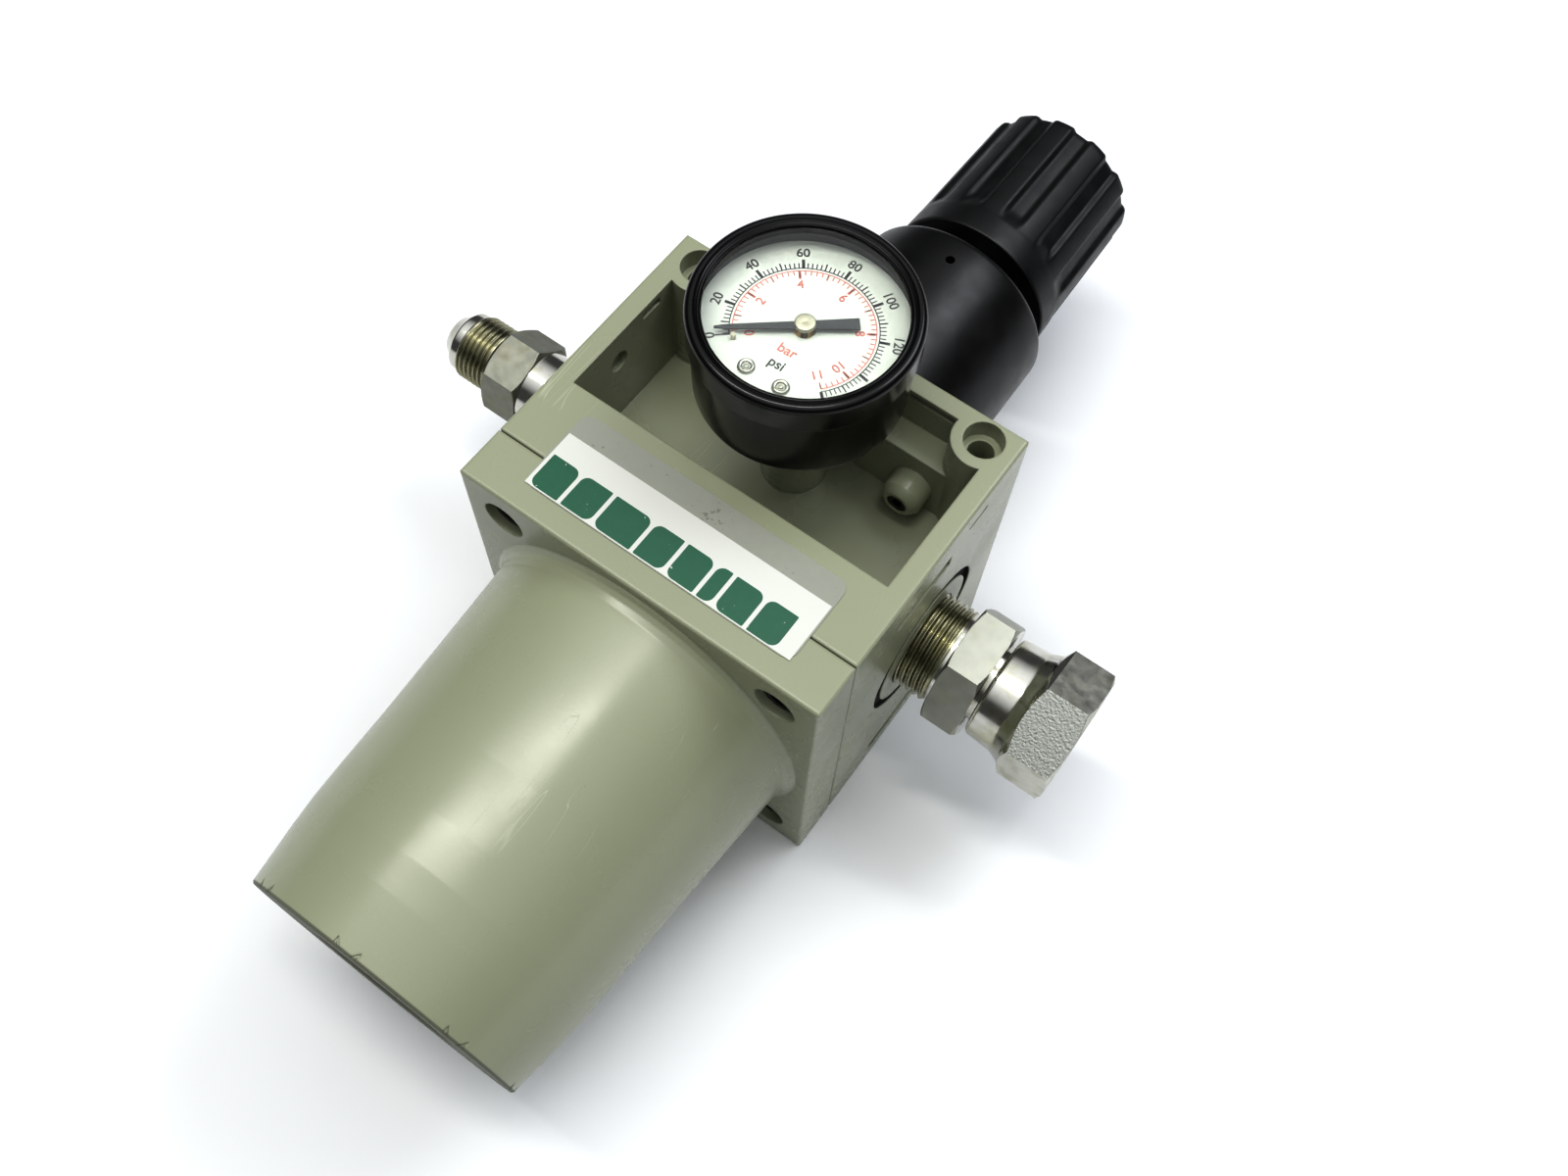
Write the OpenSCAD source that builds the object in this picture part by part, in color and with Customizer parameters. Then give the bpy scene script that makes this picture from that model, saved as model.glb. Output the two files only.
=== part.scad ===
// Filter regulator for compressed air, lying on the flat back of its body.
// X runs across the ports, Y runs along the main axis from the bowl to the knob,
// Z points out of the gauge face. The origin is on the back face, under the
// crossing of the port axis and the main axis. All sizes are in millimetres.

/* [Body] */
// Width of the body across the two ports
body_w = 100; // [98:0.5:103]
// Depth of the body from its back face to its gauge face
body_d = 98; // [97:0.5:100]
// Bottom of the body block, measured from the port axis
body_y0 = -36; // [-37:0.5:-35]
// Top of the body block, measured from the port axis
body_y1 = 35; // [34.5:0.5:36]
// Thickness of the square flange of the bowl
flange_t = 14; // [12:0.5:16]
// Rounding of the outer cast edges
edge_r = 0.8; // [0.4:0.2:1.4]
// Half width of the gauge window
window_hw = 44.4; // [43:0.2:45]
// Floor of the gauge window, measured from the back face
window_floor = 67; // [66:0.5:68]
// Height of the shelf over the diaphragm chamber
window_shelf = 86; // [84:0.5:88]
// Half spacing of the two mounting holes
mount_hx = 41.25; // [40:0.25:42]
// Radius of the mounting holes, for M6
mount_r = 3.3; // [3.1:0.1:3.5]

/* [Bowl] */
// Length of the bowl below its flange
bowl_len = 94.5; // [90:0.5:100]
// Outer radius of the bowl where it meets the flange
bowl_r_top = 43.8; // [43:0.1:44.5]
// Outer radius of the bowl at its bottom rim
bowl_r_end = 37.5; // [36.5:0.1:38.5]
// Half spacing of the four bowl screws across X
screw_hx = 38.5; // [38:0.25:39]
// Half spacing of the four bowl screws across Z
screw_hz = 38; // [37.5:0.25:38.5]

/* [Bonnet and knob] */
// Outer radius of the spring bonnet at the body
bonnet_r = 29.6; // [28.6:0.1:30]
// Top of the spring bonnet
bonnet_y1 = 92; // [91:0.5:93]
// Outer radius of the knob skirt
knob_r = 24.7; // [24:0.1:25.5]
// Lower edge of the knob skirt
knob_y0 = 98.8; // [98.5:0.1:100]
// Top face of the knob
knob_y1 = 149; // [147:0.5:151]
// Number of flutes on the knob
flute_count = 12; // [8:1:16]
// Depth of the knob flutes
flute_depth = 1.3; // [0.8:0.1:1.6]
// How far the knob is pushed down to lock it
lock_travel = 5; // [3:0.5:5]
// Travel of the spring nut over its full range of pressure
nut_travel = 14; // [10:1:14]

/* [Ports and fittings] */
// Outer radius of the 3/4 inch pipe thread
npt_r = 13.3; // [13.2:0.1:13.4]
// Width across flats of the outlet adapter hexagon
adapter_af = 30.5; // [29:0.5:31.5]
// Width across flats of the swivel nut
nut_af = 31.75; // [31:0.25:32]
// Width across flats of the inlet adapter hexagon
inlet_af = 22.2; // [21:0.1:23]
// Outer radius of the 3/4-16 flare thread on the inlet
flare_r = 9.5; // [9.4:0.05:9.55]
// End of the swivel nut along X
nut_x1 = 96; // [95:0.5:97]
// End of the inlet nose along X
inlet_x1 = -104; // [-105:0.5:-103]

/* [Gauge] */
// Distance of the gauge axis from the port axis, along Y
gauge_y = 12.7; // [12:0.1:13]
// Outer radius of the gauge bezel
bezel_r = 26.3; // [26.1:0.1:27]
// Front of the gauge bezel, measured from the back face
bezel_z = 132.3; // [131:0.1:133]
// Radius of the visible glass
glass_r = 22.7; // [22:0.1:23]
// Back of the gauge case
case_z0 = 104; // [103:0.5:105]
// Angle of the pointer at zero pressure
pointer_zero = -141.5; // [-143:0.5:-138]

/* [Hidden] */
$fn = 48;

paint = [0.70, 0.72, 0.62];
zinc = "silver";
brass = "goldenrod";
steel = "lightslategray";
black = [0.06, 0.06, 0.06];
nbr = [0.12, 0.12, 0.12];

axis_z = body_d / 2;
flange_y0 = body_y0 - flange_t;
bowl_y1 = flange_y0 - bowl_len;
eps = 0.01;
slack = 0.05;

// Window and its bosses
window_y0 = -16;
shelf_y = 22;
window_y1 = 30;
mount_y = 28.8;
counterbore_r = 5;
counterbore_d = 5.5;
corner_boss_r = 8;
gauge_boss_r = 8.6;
gauge_boss_z = 86;
side_hole_r = 3;
plug_x = 29;
plug_z = 75;
plug_y = 14.5;
plug_r = 2.7;

// Cavities in the body
port_r = npt_r + slack;
port_depth = 20;
tube_r = 17;
plug_bore_r = 14;
poppet_bore_r = 12;
orifice_r = 9;
outlet_r = 14;
chamber_r = 23;
chamber_y0 = 24.5;
diaphragm_y = 28;
diaphragm_t = 1.5;
bonnet_thread_r = 28;
stem_r = 2;
guide_r = 3;
groove_y = 42.5;
groove_r0 = 18.7;
groove_r1 = 21.5;

// Valve and diaphragm stack
seat_y0 = -2;
seat_y1 = 2;
poppet_r = 10;
poppet_y0 = -10;
face_t = 3;
valve_spring_r = 7.5;
valve_wire = 1.2;
plug_y0 = -36;
plug_y1 = -28;
plug_boss_y1 = -24;
relief_y0 = 26.5;
plate_y0 = diaphragm_y + diaphragm_t;
plate_y1 = 32;

// Spring, nut and screw
spring_r = 12.5;
spring_wire = 3.2;
spring_turns = 6;
nut_y0 = 72;
nut_t = 5;
thread_r = 5;
screw_flange_y = 80;
washer_y = 83;
bonnet_roof_y = 86;
journal_r = 6;
neck_r = 16;
neck_y1 = 104.5;
screw_hex_y = 105.5;
screw_hex_af = 10;
hub_y0 = 112;
hub_y1 = 132;
screw_y1 = 136;
cap_t = 3;
cap_r = 15;

// Outlet fitting along X
adapter_hex_x0 = 60.3;
adapter_hex_x1 = 70.5;
collar_x0 = 72.5;
nut_hex_x0 = 82;
adapter_journal_r = 10.6;
swivel_thread_r = 12.5;

// Inlet fitting along X
inlet_hex_x0 = -86.5;
inlet_hex_x1 = -75;
inlet_neck_r = 10.8;
inlet_bore_r = 4.9;

// Gauge
spindle_r = 0.8;
dial_z = 123.8;
stop_angle = -134.5;
stop_r = 15.8;
hub_r = 2.4;
dial_r = 24.2;
case_r0 = 25;
case_r1 = 25.7;
case_wall = 1.2;
movement_z = 115.4;
plate_gap = 5.1;
sector_offset = 8.5;
sector_r = 10.2;
tail_angle = 214;
tail_len = 5.5;
tube_angle = 250;
tube_mid_r = 18;
tube_z = case_z0 + 5;

// ---------- placing helpers ----------

module along_y(y) translate([0, y, axis_z]) rotate([-90, 0, 0]) children();

module along_x(x) translate([x, 0, axis_z]) rotate([0, 90, 0]) children();

module at_gauge(z) translate([0, gauge_y, z]) children();

module mirror_x() {
    children();
    mirror([1, 0, 0]) children();
}

module ring(r_out, r_in, h) difference() {
    cylinder(h = h, r = r_out);
    translate([0, 0, -1]) cylinder(h = h + 2, r = r_in);
}

module hex_prism(af, h, turn = 0) rotate(turn) cylinder(h = h, r = af / sqrt(3), $fn = 6);

// Hexagon with both ends turned down to a 30 degree chamfer
module chamfered_hex(af, h, turn = 0, both = true) intersection() {
    hex_prism(af, h, turn);
    union() {
        chamfer_h = af * 0.045;
        low = both ? chamfer_h : 0;
        if (both) cylinder(h = chamfer_h, r1 = af * 0.5, r2 = af * 0.5 + chamfer_h * 1.73);
        translate([0, 0, low]) cylinder(h = h - low - chamfer_h, r = af * 0.6);
        translate([0, 0, h - chamfer_h])
            cylinder(h = chamfer_h, r1 = af * 0.5 + chamfer_h * 1.73, r2 = af * 0.5);
    }
}

module rounded_rect(w, h, r) {
    square([w - 2 * r, h], center = true);
    square([w, h - 2 * r], center = true);
    for (sx = [-1, 1], sy = [-1, 1])
        translate([sx * (w / 2 - r), sy * (h / 2 - r)]) circle(r);
}

// Box with every edge rounded, as the common part of three rounded bars
module rounded_block(w, h, d, r) intersection() {
    linear_extrude(d, center = true) rounded_rect(w, h, r);
    rotate([90, 0, 0]) linear_extrude(h, center = true) rounded_rect(w, d, r);
    rotate([0, 90, 0]) linear_extrude(w, center = true) rounded_rect(d, h, r);
}

function ring_point(r, a) = [r * cos(a), r * sin(a)];

// Coil spring along +Z, made of eight-sided wire
module coil(radius, wire, height, turns) {
    steps = 20 * turns;
    sides = 8;
    function angle(i) = 360 * turns * i / steps;
    points = [for (i = [0:steps], k = [0:sides - 1])
        let (r = radius + wire / 2 * cos(360 * k / sides))
        [r * cos(angle(i)), r * sin(angle(i)),
         wire / 2 + (height - wire) * i / steps + wire / 2 * sin(360 * k / sides)]];
    walls = [for (i = [0:steps - 1], k = [0:sides - 1])
        [(i + 1) * sides + k, (i + 1) * sides + (k + 1) % sides,
         i * sides + (k + 1) % sides, i * sides + k]];
    start = [for (k = [0:sides - 1]) sides - 1 - k];
    end = [for (k = [0:sides - 1]) steps * sides + k];
    polyhedron(points, concat([start], walls, [end]));
}

// ---------- body and bowl ----------

module window_cut() {
    front = body_d - window_floor + 1;
    translate([-window_hw, window_y0, window_floor])
        cube([2 * window_hw, shelf_y - window_y0, front]);
    translate([-window_hw, shelf_y - eps, window_shelf])
        cube([2 * window_hw, window_y1 - shelf_y + eps, body_d - window_shelf + 1]);
}

module window_bosses() {
    mirror_x() intersection() {
        translate([mount_hx, mount_y, window_floor - 1])
            cylinder(h = body_d - window_floor + 1, r = corner_boss_r);
        translate([0, 0, window_floor - 1]) cube([body_w / 2 - 1, body_y1 - 1, 40]);
    }
    at_gauge(window_floor - 1) cylinder(h = gauge_boss_z - window_floor + 1, r = gauge_boss_r);
    translate([plug_x, plug_y, plug_z]) intersection() {
        rotate([-90, 0, 0]) cylinder(h = shelf_y - plug_y + 1, r = 5.5);
        translate([0, 5, 0]) sphere(6.2);
    }
}

// Slots in the window walls that hold a snap-in cover
module window_slots() mirror_x() {
    translate([20, window_y1 - 1, 95]) cube([12.5, 2.2, 1.8]);
    translate([window_hw - 1, 10, 94.2]) cube([2.2, 6.5, 1.8]);
    translate([window_hw - 1, 0, 88]) rotate([0, 90, 0]) cylinder(h = 2.6, r = side_hole_r);
}

// Seal groove and clamp slots on each port face
module port_face_cuts() mirror_x() {
    along_x(body_w / 2 - 1.5) ring(groove_r1, groove_r0, 3);
    for (z = [86, 8])
        translate([body_w / 2 - 2.5, -18, z - 2]) cube([4, 22, 4]);
    translate([body_w / 2 - 1, 11, 90.4]) cube([3, 7.5, 1.2]);
}

module flow_cuts() {
    // Thread pockets of the two ports
    mirror_x() along_x(body_w / 2 - port_depth) cylinder(h = port_depth + 1, r = port_r);
    // Ring chamber over the bowl, around the centre tube
    along_y(body_y0 - 1) ring(36, tube_r, 11);
    // Inlet air drops from its port into the ring chamber
    translate([-34, -30, axis_z - 8]) cube([12, 30, 16]);
    // Valve chamber, seat bore and outlet chamber
    along_y(body_y0 - 1) cylinder(h = 10 + 1, r = plug_bore_r);
    along_y(-27) cylinder(h = 27 + seat_y1, r = poppet_bore_r);
    along_y(seat_y1 - 1) cylinder(h = 4, r = orifice_r);
    along_y(4) cylinder(h = 16.5, r = outlet_r);
    translate([8, 4, axis_z - 7]) cube([24, 8, 14]);
    // Diaphragm chamber, its rim seat, and the stem and sensing holes under it
    along_y(chamber_y0) cylinder(h = 20, r = chamber_r);
    along_y(diaphragm_y) cylinder(h = 20, r = bonnet_thread_r);
    along_y(10) cylinder(h = 20, r = stem_r + slack);
    translate([9, 10, axis_z]) rotate([-90, 0, 0]) cylinder(h = 20, r = 1.5);
    // Gauge port and its passage down to the outlet chamber
    at_gauge(gauge_boss_z - 13) cylinder(h = 14, r = 6.55);
    at_gauge(axis_z + 8) cylinder(h = 30, r = 2);
}

module screw_places() for (sx = [-1, 1], sz = [-1, 1])
    translate([sx * screw_hx, 0, axis_z + sz * screw_hz]) rotate([-90, 0, 0]) children();

module body() color(paint) difference() {
    union() {
        difference() {
            translate([0, (body_y0 + body_y1) / 2, body_d / 2])
                rounded_block(body_w, body_y1 - body_y0, body_d, edge_r);
            window_cut();
        }
        window_bosses();
    }
    window_slots();
    port_face_cuts();
    flow_cuts();
    // Mounting holes with counterbores
    mirror_x() translate([mount_hx, mount_y, -1]) {
        cylinder(h = body_d + 2, r = mount_r);
        translate([0, 0, body_d + 1 - counterbore_d]) cylinder(h = counterbore_d + 1, r = counterbore_r);
    }
    // Tapped holes for the bowl screws and groove for the bowl seal
    screw_places() translate([0, 0, body_y0 - 1]) cylinder(h = 15, r = 3.05);
    along_y(body_y0 - 1) ring(43.6, 41.4, 3);
    // Tapped hole for the plug
    translate([plug_x, plug_y - 6, plug_z]) rotate([-90, 0, 0]) cylinder(h = 15, r = plug_r + slack);
}

function bowl_outline() = [
    [0, -bowl_len + 7], [20, -bowl_len + 7], [20, -bowl_len + 0.6], [20.6, -bowl_len],
    [bowl_r_end - 0.5, -bowl_len], [bowl_r_end, -bowl_len + 0.5],
    [39.3, -80], [40.1, -72], [40.6, -62], [41.2, -46], [42.5, -24], [bowl_r_top - 0.1, -4],
    [44.1, -2.2], [44.8, -1], [46, -0.3], [46.2, 0.5], [0, 0.5]
];

function bowl_hollow() = [
    [0, -bowl_len + 11.5], [22, -bowl_len + 11.5], [25, -bowl_len + 5.5], [34, -bowl_len + 5.5],
    [36, -73], [37.4, -46], [39.5, flange_t - 3], [39.5, flange_t + 1], [0, flange_t + 1]
];

module bowl() color(paint) difference() {
    union() {
        translate([0, (flange_y0 + body_y0) / 2, body_d / 2])
            rounded_block(body_w, flange_t, body_d, edge_r);
        along_y(flange_y0) rotate_extrude() polygon(bowl_outline());
        along_y(bowl_y1 + 10) cylinder(h = 8, r = 10);
    }
    difference() {
        along_y(flange_y0) rotate_extrude() polygon(bowl_hollow());
        along_y(bowl_y1 + 10) cylinder(h = 8, r = 10);
    }
    // Screw holes with deep counterbores
    screw_places() translate([0, 0, flange_y0 - 1]) {
        cylinder(h = 9, r = 5.5);
        cylinder(h = flange_t + 2, r = 3.3);
    }
    // Thread of the drain
    along_y(bowl_y1 - 1) cylinder(h = 22, r = 6);
    // Eight pairs of arrow marks around the rim
    for (k = [0:7]) along_y(bowl_y1) rotate(45 * k) rim_mark();
}

// One pair of shallow arrowheads, drawn as thin grooves, on the rim of the bowl
module rim_mark() for (s = [-1, 1])
    translate([bowl_r_end - 0.45, 0, -1]) rotate([0, 3, 0]) rotate([0, 90, 0]) linear_extrude(3) difference() {
        polygon([[0.4, 0], [-3.1, s * 3.15], [0.4, s * 3.5]]);
        polygon([[0.5, s * 0.7], [-2.1, s * 2.8], [0.5, s * 3.08]]);
    }

module bowl_screws() color(steel) screw_places() difference() {
    union() {
        translate([0, 0, flange_y0 + 2]) cylinder(h = 6, r = 5);
        translate([0, 0, flange_y0 + 7.9]) cylinder(h = 20, r = 3);
    }
    translate([0, 0, flange_y0 + 1]) hex_prism(5, 4);
}

module bowl_o_ring() color(nbr) along_y(body_y0 + 1) rotate_extrude() translate([42.5, 0]) circle(1);

module label() color("whitesmoke") translate([0.6, (-43.5 - 20.6) / 2, body_d])
    linear_extrude(0.25) rounded_rect(74.4, 22.9, 3);

module recess_plug() color(black) difference() {
    translate([plug_x, plug_y + 0.3, plug_z]) rotate([-90, 0, 0]) cylinder(h = 6, r = plug_r);
    translate([plug_x, plug_y - 0.1, plug_z]) rotate([-90, 0, 0]) hex_prism(2.5, 3);
}

// ---------- filter and drain ----------

// Louvre ring that sets the air spinning, held between the seal and the filter
module deflector() color("ivory") difference() {
    union() {
        along_y(-46) ring(38, 22.3, 6);
        along_y(-40) ring(25, 15.2, 2);
    }
    for (k = [0:11]) along_y(-43) rotate(30 * k) translate([31, 0, 0]) rotate([40, 0, 0])
        cube([9, 2.4, 14], center = true);
}

module filter_seal() color(nbr) along_y(-38) ring(22, 15, 2);

module filter_element() color("wheat") along_y(-102) ring(22, 16.5, 62);

module baffle() color("ivory") along_y(-106) difference() {
    union() {
        cylinder(h = 4, r = 27);
        translate([0, 0, -6]) ring(27, 25.2, 7);
    }
    translate([0, 0, -1]) cylinder(h = 6, r = 3.2);
}

module tie_rod() color(steel) along_y(-112) cylinder(h = 74, r = 3);

module baffle_nut() color(steel) along_y(-111) difference() {
    chamfered_hex(10, 5);
    translate([0, 0, -1]) cylinder(h = 7, r = 3 + slack);
}

module drain_body() color(brass) difference() {
    union() {
        along_y(bowl_y1 + 5) hex_prism(16, 2);
        along_y(bowl_y1 + 6.5) cylinder(h = 13, r = 5.95);
    }
    along_y(bowl_y1 + 4) cylinder(h = 20, r = stem_r + slack);
}

module drain_knob() color(black) difference() {
    union() {
        along_y(bowl_y1 + 0.6) cylinder(h = 4, r = 8.5);
        along_y(bowl_y1 + 4) cylinder(h = 14, r = stem_r);
    }
    for (k = [0:15]) along_y(bowl_y1) rotate(22.5 * k) translate([9, 0, -1]) cylinder(h = 8, r = 0.9);
}

// ---------- valve ----------

module valve_plug() color(brass) difference() {
    union() {
        along_y(plug_y0) cylinder(h = plug_y1 - plug_y0, r = plug_bore_r - slack);
        along_y(-44) cylinder(h = 20, r = 5.5);
    }
    for (k = [0:5]) along_y(plug_y0 - 1) rotate(60 * k) translate([9.6, 0, 0]) cylinder(h = 12, r = 2.4);
    along_y(-45) cylinder(h = 9, r = 3 + slack);
    along_y(-32) cylinder(h = 10, r = guide_r + slack);
}

module seat_insert() color(brass) along_y(seat_y0) ring(poppet_bore_r - slack, 8, seat_y1 - seat_y0);

module valve_poppet() color(brass) {
    along_y(poppet_y0) cylinder(h = seat_y0 - face_t - poppet_y0, r = poppet_r);
    along_y(-30) cylinder(h = 21, r = guide_r);
}

module valve_face() color(nbr) along_y(seat_y0 - face_t) ring(poppet_r, stem_r + 0.2, face_t);

module valve_stem() color(steel) along_y(seat_y0 - face_t) cylinder(h = relief_y0 - slack - seat_y0 + face_t, r = stem_r);

module valve_spring() color(steel) along_y(plug_y1) coil(valve_spring_r, valve_wire, poppet_y0 - plug_y1, 5);

// ---------- diaphragm and spring ----------

module diaphragm() color(nbr) along_y(diaphragm_y) ring(bonnet_thread_r - 0.2, 4.05, diaphragm_t);

module relief_seat() color(brass) difference() {
    union() {
        along_y(relief_y0) cylinder(h = diaphragm_y - relief_y0, r = 10);
        along_y(relief_y0) cylinder(h = 11, r = 4);
    }
    along_y(relief_y0 - 1) cylinder(h = 14, r = 1);
}

module spring_plate() color(steel) along_y(plate_y0) {
    ring(16, 4.05, plate_y1 - plate_y0);
    ring(10.5, 8.6, 5);
}

module plate_nut() color(steel) along_y(plate_y1) difference() {
    chamfered_hex(12, 4);
    translate([0, 0, -1]) cylinder(h = 6, r = 4 + slack);
}

module main_spring() color(steel) along_y(plate_y1) coil(spring_r, spring_wire, nut_y0 - plate_y1, spring_turns);

module spring_nut() color(steel) along_y(nut_y0) difference() {
    union() {
        cylinder(h = nut_t, r = 19.5);
        cylinder(h = 7.5, r = 8);
        for (s = [-1, 1]) translate([s * 20, 0, nut_t / 2]) cube([5, 4, nut_t], center = true);
    }
    translate([0, 0, -1]) cylinder(h = 10, r = thread_r + 0.3);
}

module adjusting_screw() color(steel) {
    along_y(50) cylinder(h = screw_flange_y - 50 + 1, r = thread_r);
    along_y(screw_flange_y) cylinder(h = washer_y - screw_flange_y, r = 9);
    along_y(washer_y - 1) cylinder(h = screw_hex_y - washer_y + 1, r = journal_r);
    along_y(screw_hex_y - 1) hex_prism(screw_hex_af, hub_y1 - screw_hex_y + 1);
    along_y(hub_y1 - 1) cylinder(h = 2, r = 3.2);
    along_y(hub_y1 + 1) cylinder(h = screw_y1 - hub_y1 - 1, r = 4);
}

module thrust_washer() color(brass) along_y(washer_y + slack)
    ring(9.5, journal_r + 0.3, bonnet_roof_y - washer_y - slack);

module bonnet() color(black) difference() {
    union() {
        along_y(body_y1) rotate_extrude() polygon([
            [0, 0], [bonnet_r, 0], [bonnet_r - 0.7, bonnet_y1 - body_y1 - 1.4],
            [bonnet_r - 1, bonnet_y1 - body_y1 - 0.6], [bonnet_r - 1.8, bonnet_y1 - body_y1],
            [0, bonnet_y1 - body_y1]]);
        along_y(plate_y0) cylinder(h = body_y1 - plate_y0 + 1, r = bonnet_thread_r - slack);
        along_y(bonnet_y1 - 1) cylinder(h = neck_y1 - bonnet_y1 + 1, r = neck_r);
    }
    along_y(plate_y0 - 1) cylinder(h = bonnet_roof_y - plate_y0 + 1, r = 22);
    along_y(plate_y0 - 1) cylinder(h = neck_y1, r = journal_r + slack);
    // Grooves that keep the spring nut from turning
    for (s = [-1, 1]) translate([s * 20, (plate_y0 + bonnet_roof_y) / 2, axis_z])
        cube([6, bonnet_roof_y - plate_y0, 4.8], center = true);
    // Vent
    translate([0, 83, axis_z + 20]) cylinder(h = 12, r = 1.3);
}

// ---------- knob ----------

module knob_outline() rotate_extrude() polygon([
    [0, 0], [knob_r - 0.4, 0], [knob_r, 0.5], [knob_r - 0.5, 9],
    [knob_r - 1, knob_y1 - knob_y0 - 2.2], [knob_r - 1.6, knob_y1 - knob_y0 - 0.8],
    [knob_r - 2.8, knob_y1 - knob_y0], [0, knob_y1 - knob_y0]]);

module knob_flutes() for (k = [0:flute_count - 1])
    rotate(20 + 360 / flute_count * k) translate([knob_r - 0.6 - flute_depth, -3, 11]) rotate([0, -0.9, 0])
        cube([6, 6, knob_y1 - knob_y0]);

module knob() color(black) difference() {
    along_y(knob_y0) difference() {
        knob_outline();
        knob_flutes();
    }
    along_y(knob_y0 - 1) cylinder(h = hub_y0 - knob_y0 + 1, r = neck_r + 2);
    along_y(hub_y0 - 1) hex_prism(screw_hex_af + 0.6, hub_y1 - hub_y0 + 2);
    along_y(hub_y1) cylinder(h = knob_y1 - hub_y1, r = cap_r - 1.5);
    along_y(knob_y1 - cap_t) cylinder(h = cap_t + 1, r = cap_r);
}

module knob_clip() color(steel) along_y(hub_y1 + 0.05) ring(7, 3.25, 0.9);

module knob_cap() color(black) along_y(knob_y1 - cap_t) cylinder(h = cap_t, r = cap_r - slack);

// ---------- fittings ----------

module inlet_adapter() color(zinc) difference() {
    union() {
        along_x(-53) cylinder(h = 17, r = npt_r);
        along_x(inlet_hex_x1 - 1) cylinder(h = -53 - inlet_hex_x1 + 2, r = inlet_neck_r);
        along_x(inlet_hex_x0) chamfered_hex(inlet_af, inlet_hex_x1 - inlet_hex_x0, -11.5);
        along_x(-89) cylinder(h = 4, r = flare_r - 1.2);
        along_x(-99.3) cylinder(h = 10.8, r = flare_r);
        along_x(-100) cylinder(h = 0.8, r1 = flare_r - 1.1, r2 = flare_r);
        along_x(inlet_x1) cylinder(h = -100 - inlet_x1, r1 = flare_r - 4.1, r2 = flare_r - 1.1);
    }
    along_x(inlet_x1 - 1) cylinder(h = 80, r = inlet_bore_r);
}

module outlet_adapter() color(zinc) difference() {
    union() {
        along_x(36) cylinder(h = adapter_hex_x0 - 36 + 1, r = npt_r);
        along_x(adapter_hex_x0) chamfered_hex(adapter_af, adapter_hex_x1 - adapter_hex_x0, 31.3);
        along_x(adapter_hex_x1 - 1) cylinder(h = 12, r = adapter_journal_r);
        along_x(80) cylinder(h = 4, r1 = adapter_journal_r, r2 = swivel_thread_r - 0.5);
        along_x(84) cylinder(h = 2, r = swivel_thread_r - 0.5);
    }
    along_x(35) cylinder(h = 60, r = 7.5);
    along_x(82.4) cylinder(h = 3.7, r1 = 7.5, r2 = 10.3);
}

module swivel_nut() color(zinc) along_x(0) difference() {
    union() {
        translate([0, 0, collar_x0]) cylinder(h = 1.8, r1 = 13.6, r2 = 14.6);
        translate([0, 0, collar_x0 + 1.8]) cylinder(h = 6.2, r = 14.6);
        translate([0, 0, collar_x0 + 8]) cylinder(h = 2, r1 = 14.6, r2 = 15.6);
        intersection() {
            translate([0, 0, collar_x0 + 8]) hex_prism(nut_af, nut_x1 - collar_x0 - 8, 4.4);
            union() {
                translate([0, 0, collar_x0 + 8]) cylinder(h = 4, r1 = 14.6, r2 = 18.6);
                translate([0, 0, collar_x0 + 12]) cylinder(h = nut_x1 - collar_x0 - 13.2, r = 18.6);
                translate([0, 0, nut_x1 - 1.2]) cylinder(h = 1.2, r1 = 18, r2 = 15.9);
            }
        }
    }
    cylinder(h = 79, r = adapter_journal_r + 0.3);
    translate([0, 0, 78.4]) cylinder(h = 2, r1 = adapter_journal_r + 0.3, r2 = swivel_thread_r + 0.4);
    translate([0, 0, 80.3]) cylinder(h = 6.2, r = swivel_thread_r + 0.4);
    translate([0, 0, 86]) cylinder(h = 20, r = swivel_thread_r);
    translate([0, 0, nut_x1 - 1]) cylinder(h = 1.2, r1 = swivel_thread_r, r2 = swivel_thread_r + 1.2);
}

// ---------- gauge ----------

module gauge_socket() color(brass) difference() {
    union() {
        at_gauge(gauge_boss_z - 12.5) cylinder(h = 14, r = 6.5);
        at_gauge(gauge_boss_z + 0.3) translate([-7, -7, 0]) cube([14, 14, case_z0 - gauge_boss_z - 0.3]);
        at_gauge(case_z0 - 1) cylinder(h = 3, r = 6.8);
        at_gauge(case_z0 + 1.5) translate([-6, -5, 0]) cube([12, 9, movement_z - case_z0 - 1.5]);
        at_gauge(tube_z) translate([-5, -19.5, 0]) cube([5, 16, 6]);
    }
    // Air passage up the stem and across to the open end of the tube
    at_gauge(gauge_boss_z - 14) cylinder(h = tube_z + 3 - gauge_boss_z + 14, r = 1.5);
    at_gauge(tube_z + 3) translate([-2, 0, 0]) rotate([90, 0, 0]) cylinder(h = tube_mid_r, r = 1.2);
    at_gauge(tube_z + 3) translate([-2, -tube_mid_r, 0]) rotate([0, 90, 0]) cylinder(h = 3, r = 0.45);
}

module gauge_case() color(black) at_gauge(case_z0) difference() {
    cylinder(h = bezel_z - 2.8 - case_z0, r1 = case_r0, r2 = case_r1);
    translate([0, 0, case_wall]) cylinder(h = 40, r1 = case_r0 - case_wall, r2 = case_r1 - case_wall + 0.35);
    translate([0, 0, -1]) cylinder(h = 4, r = 7);
}

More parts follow.
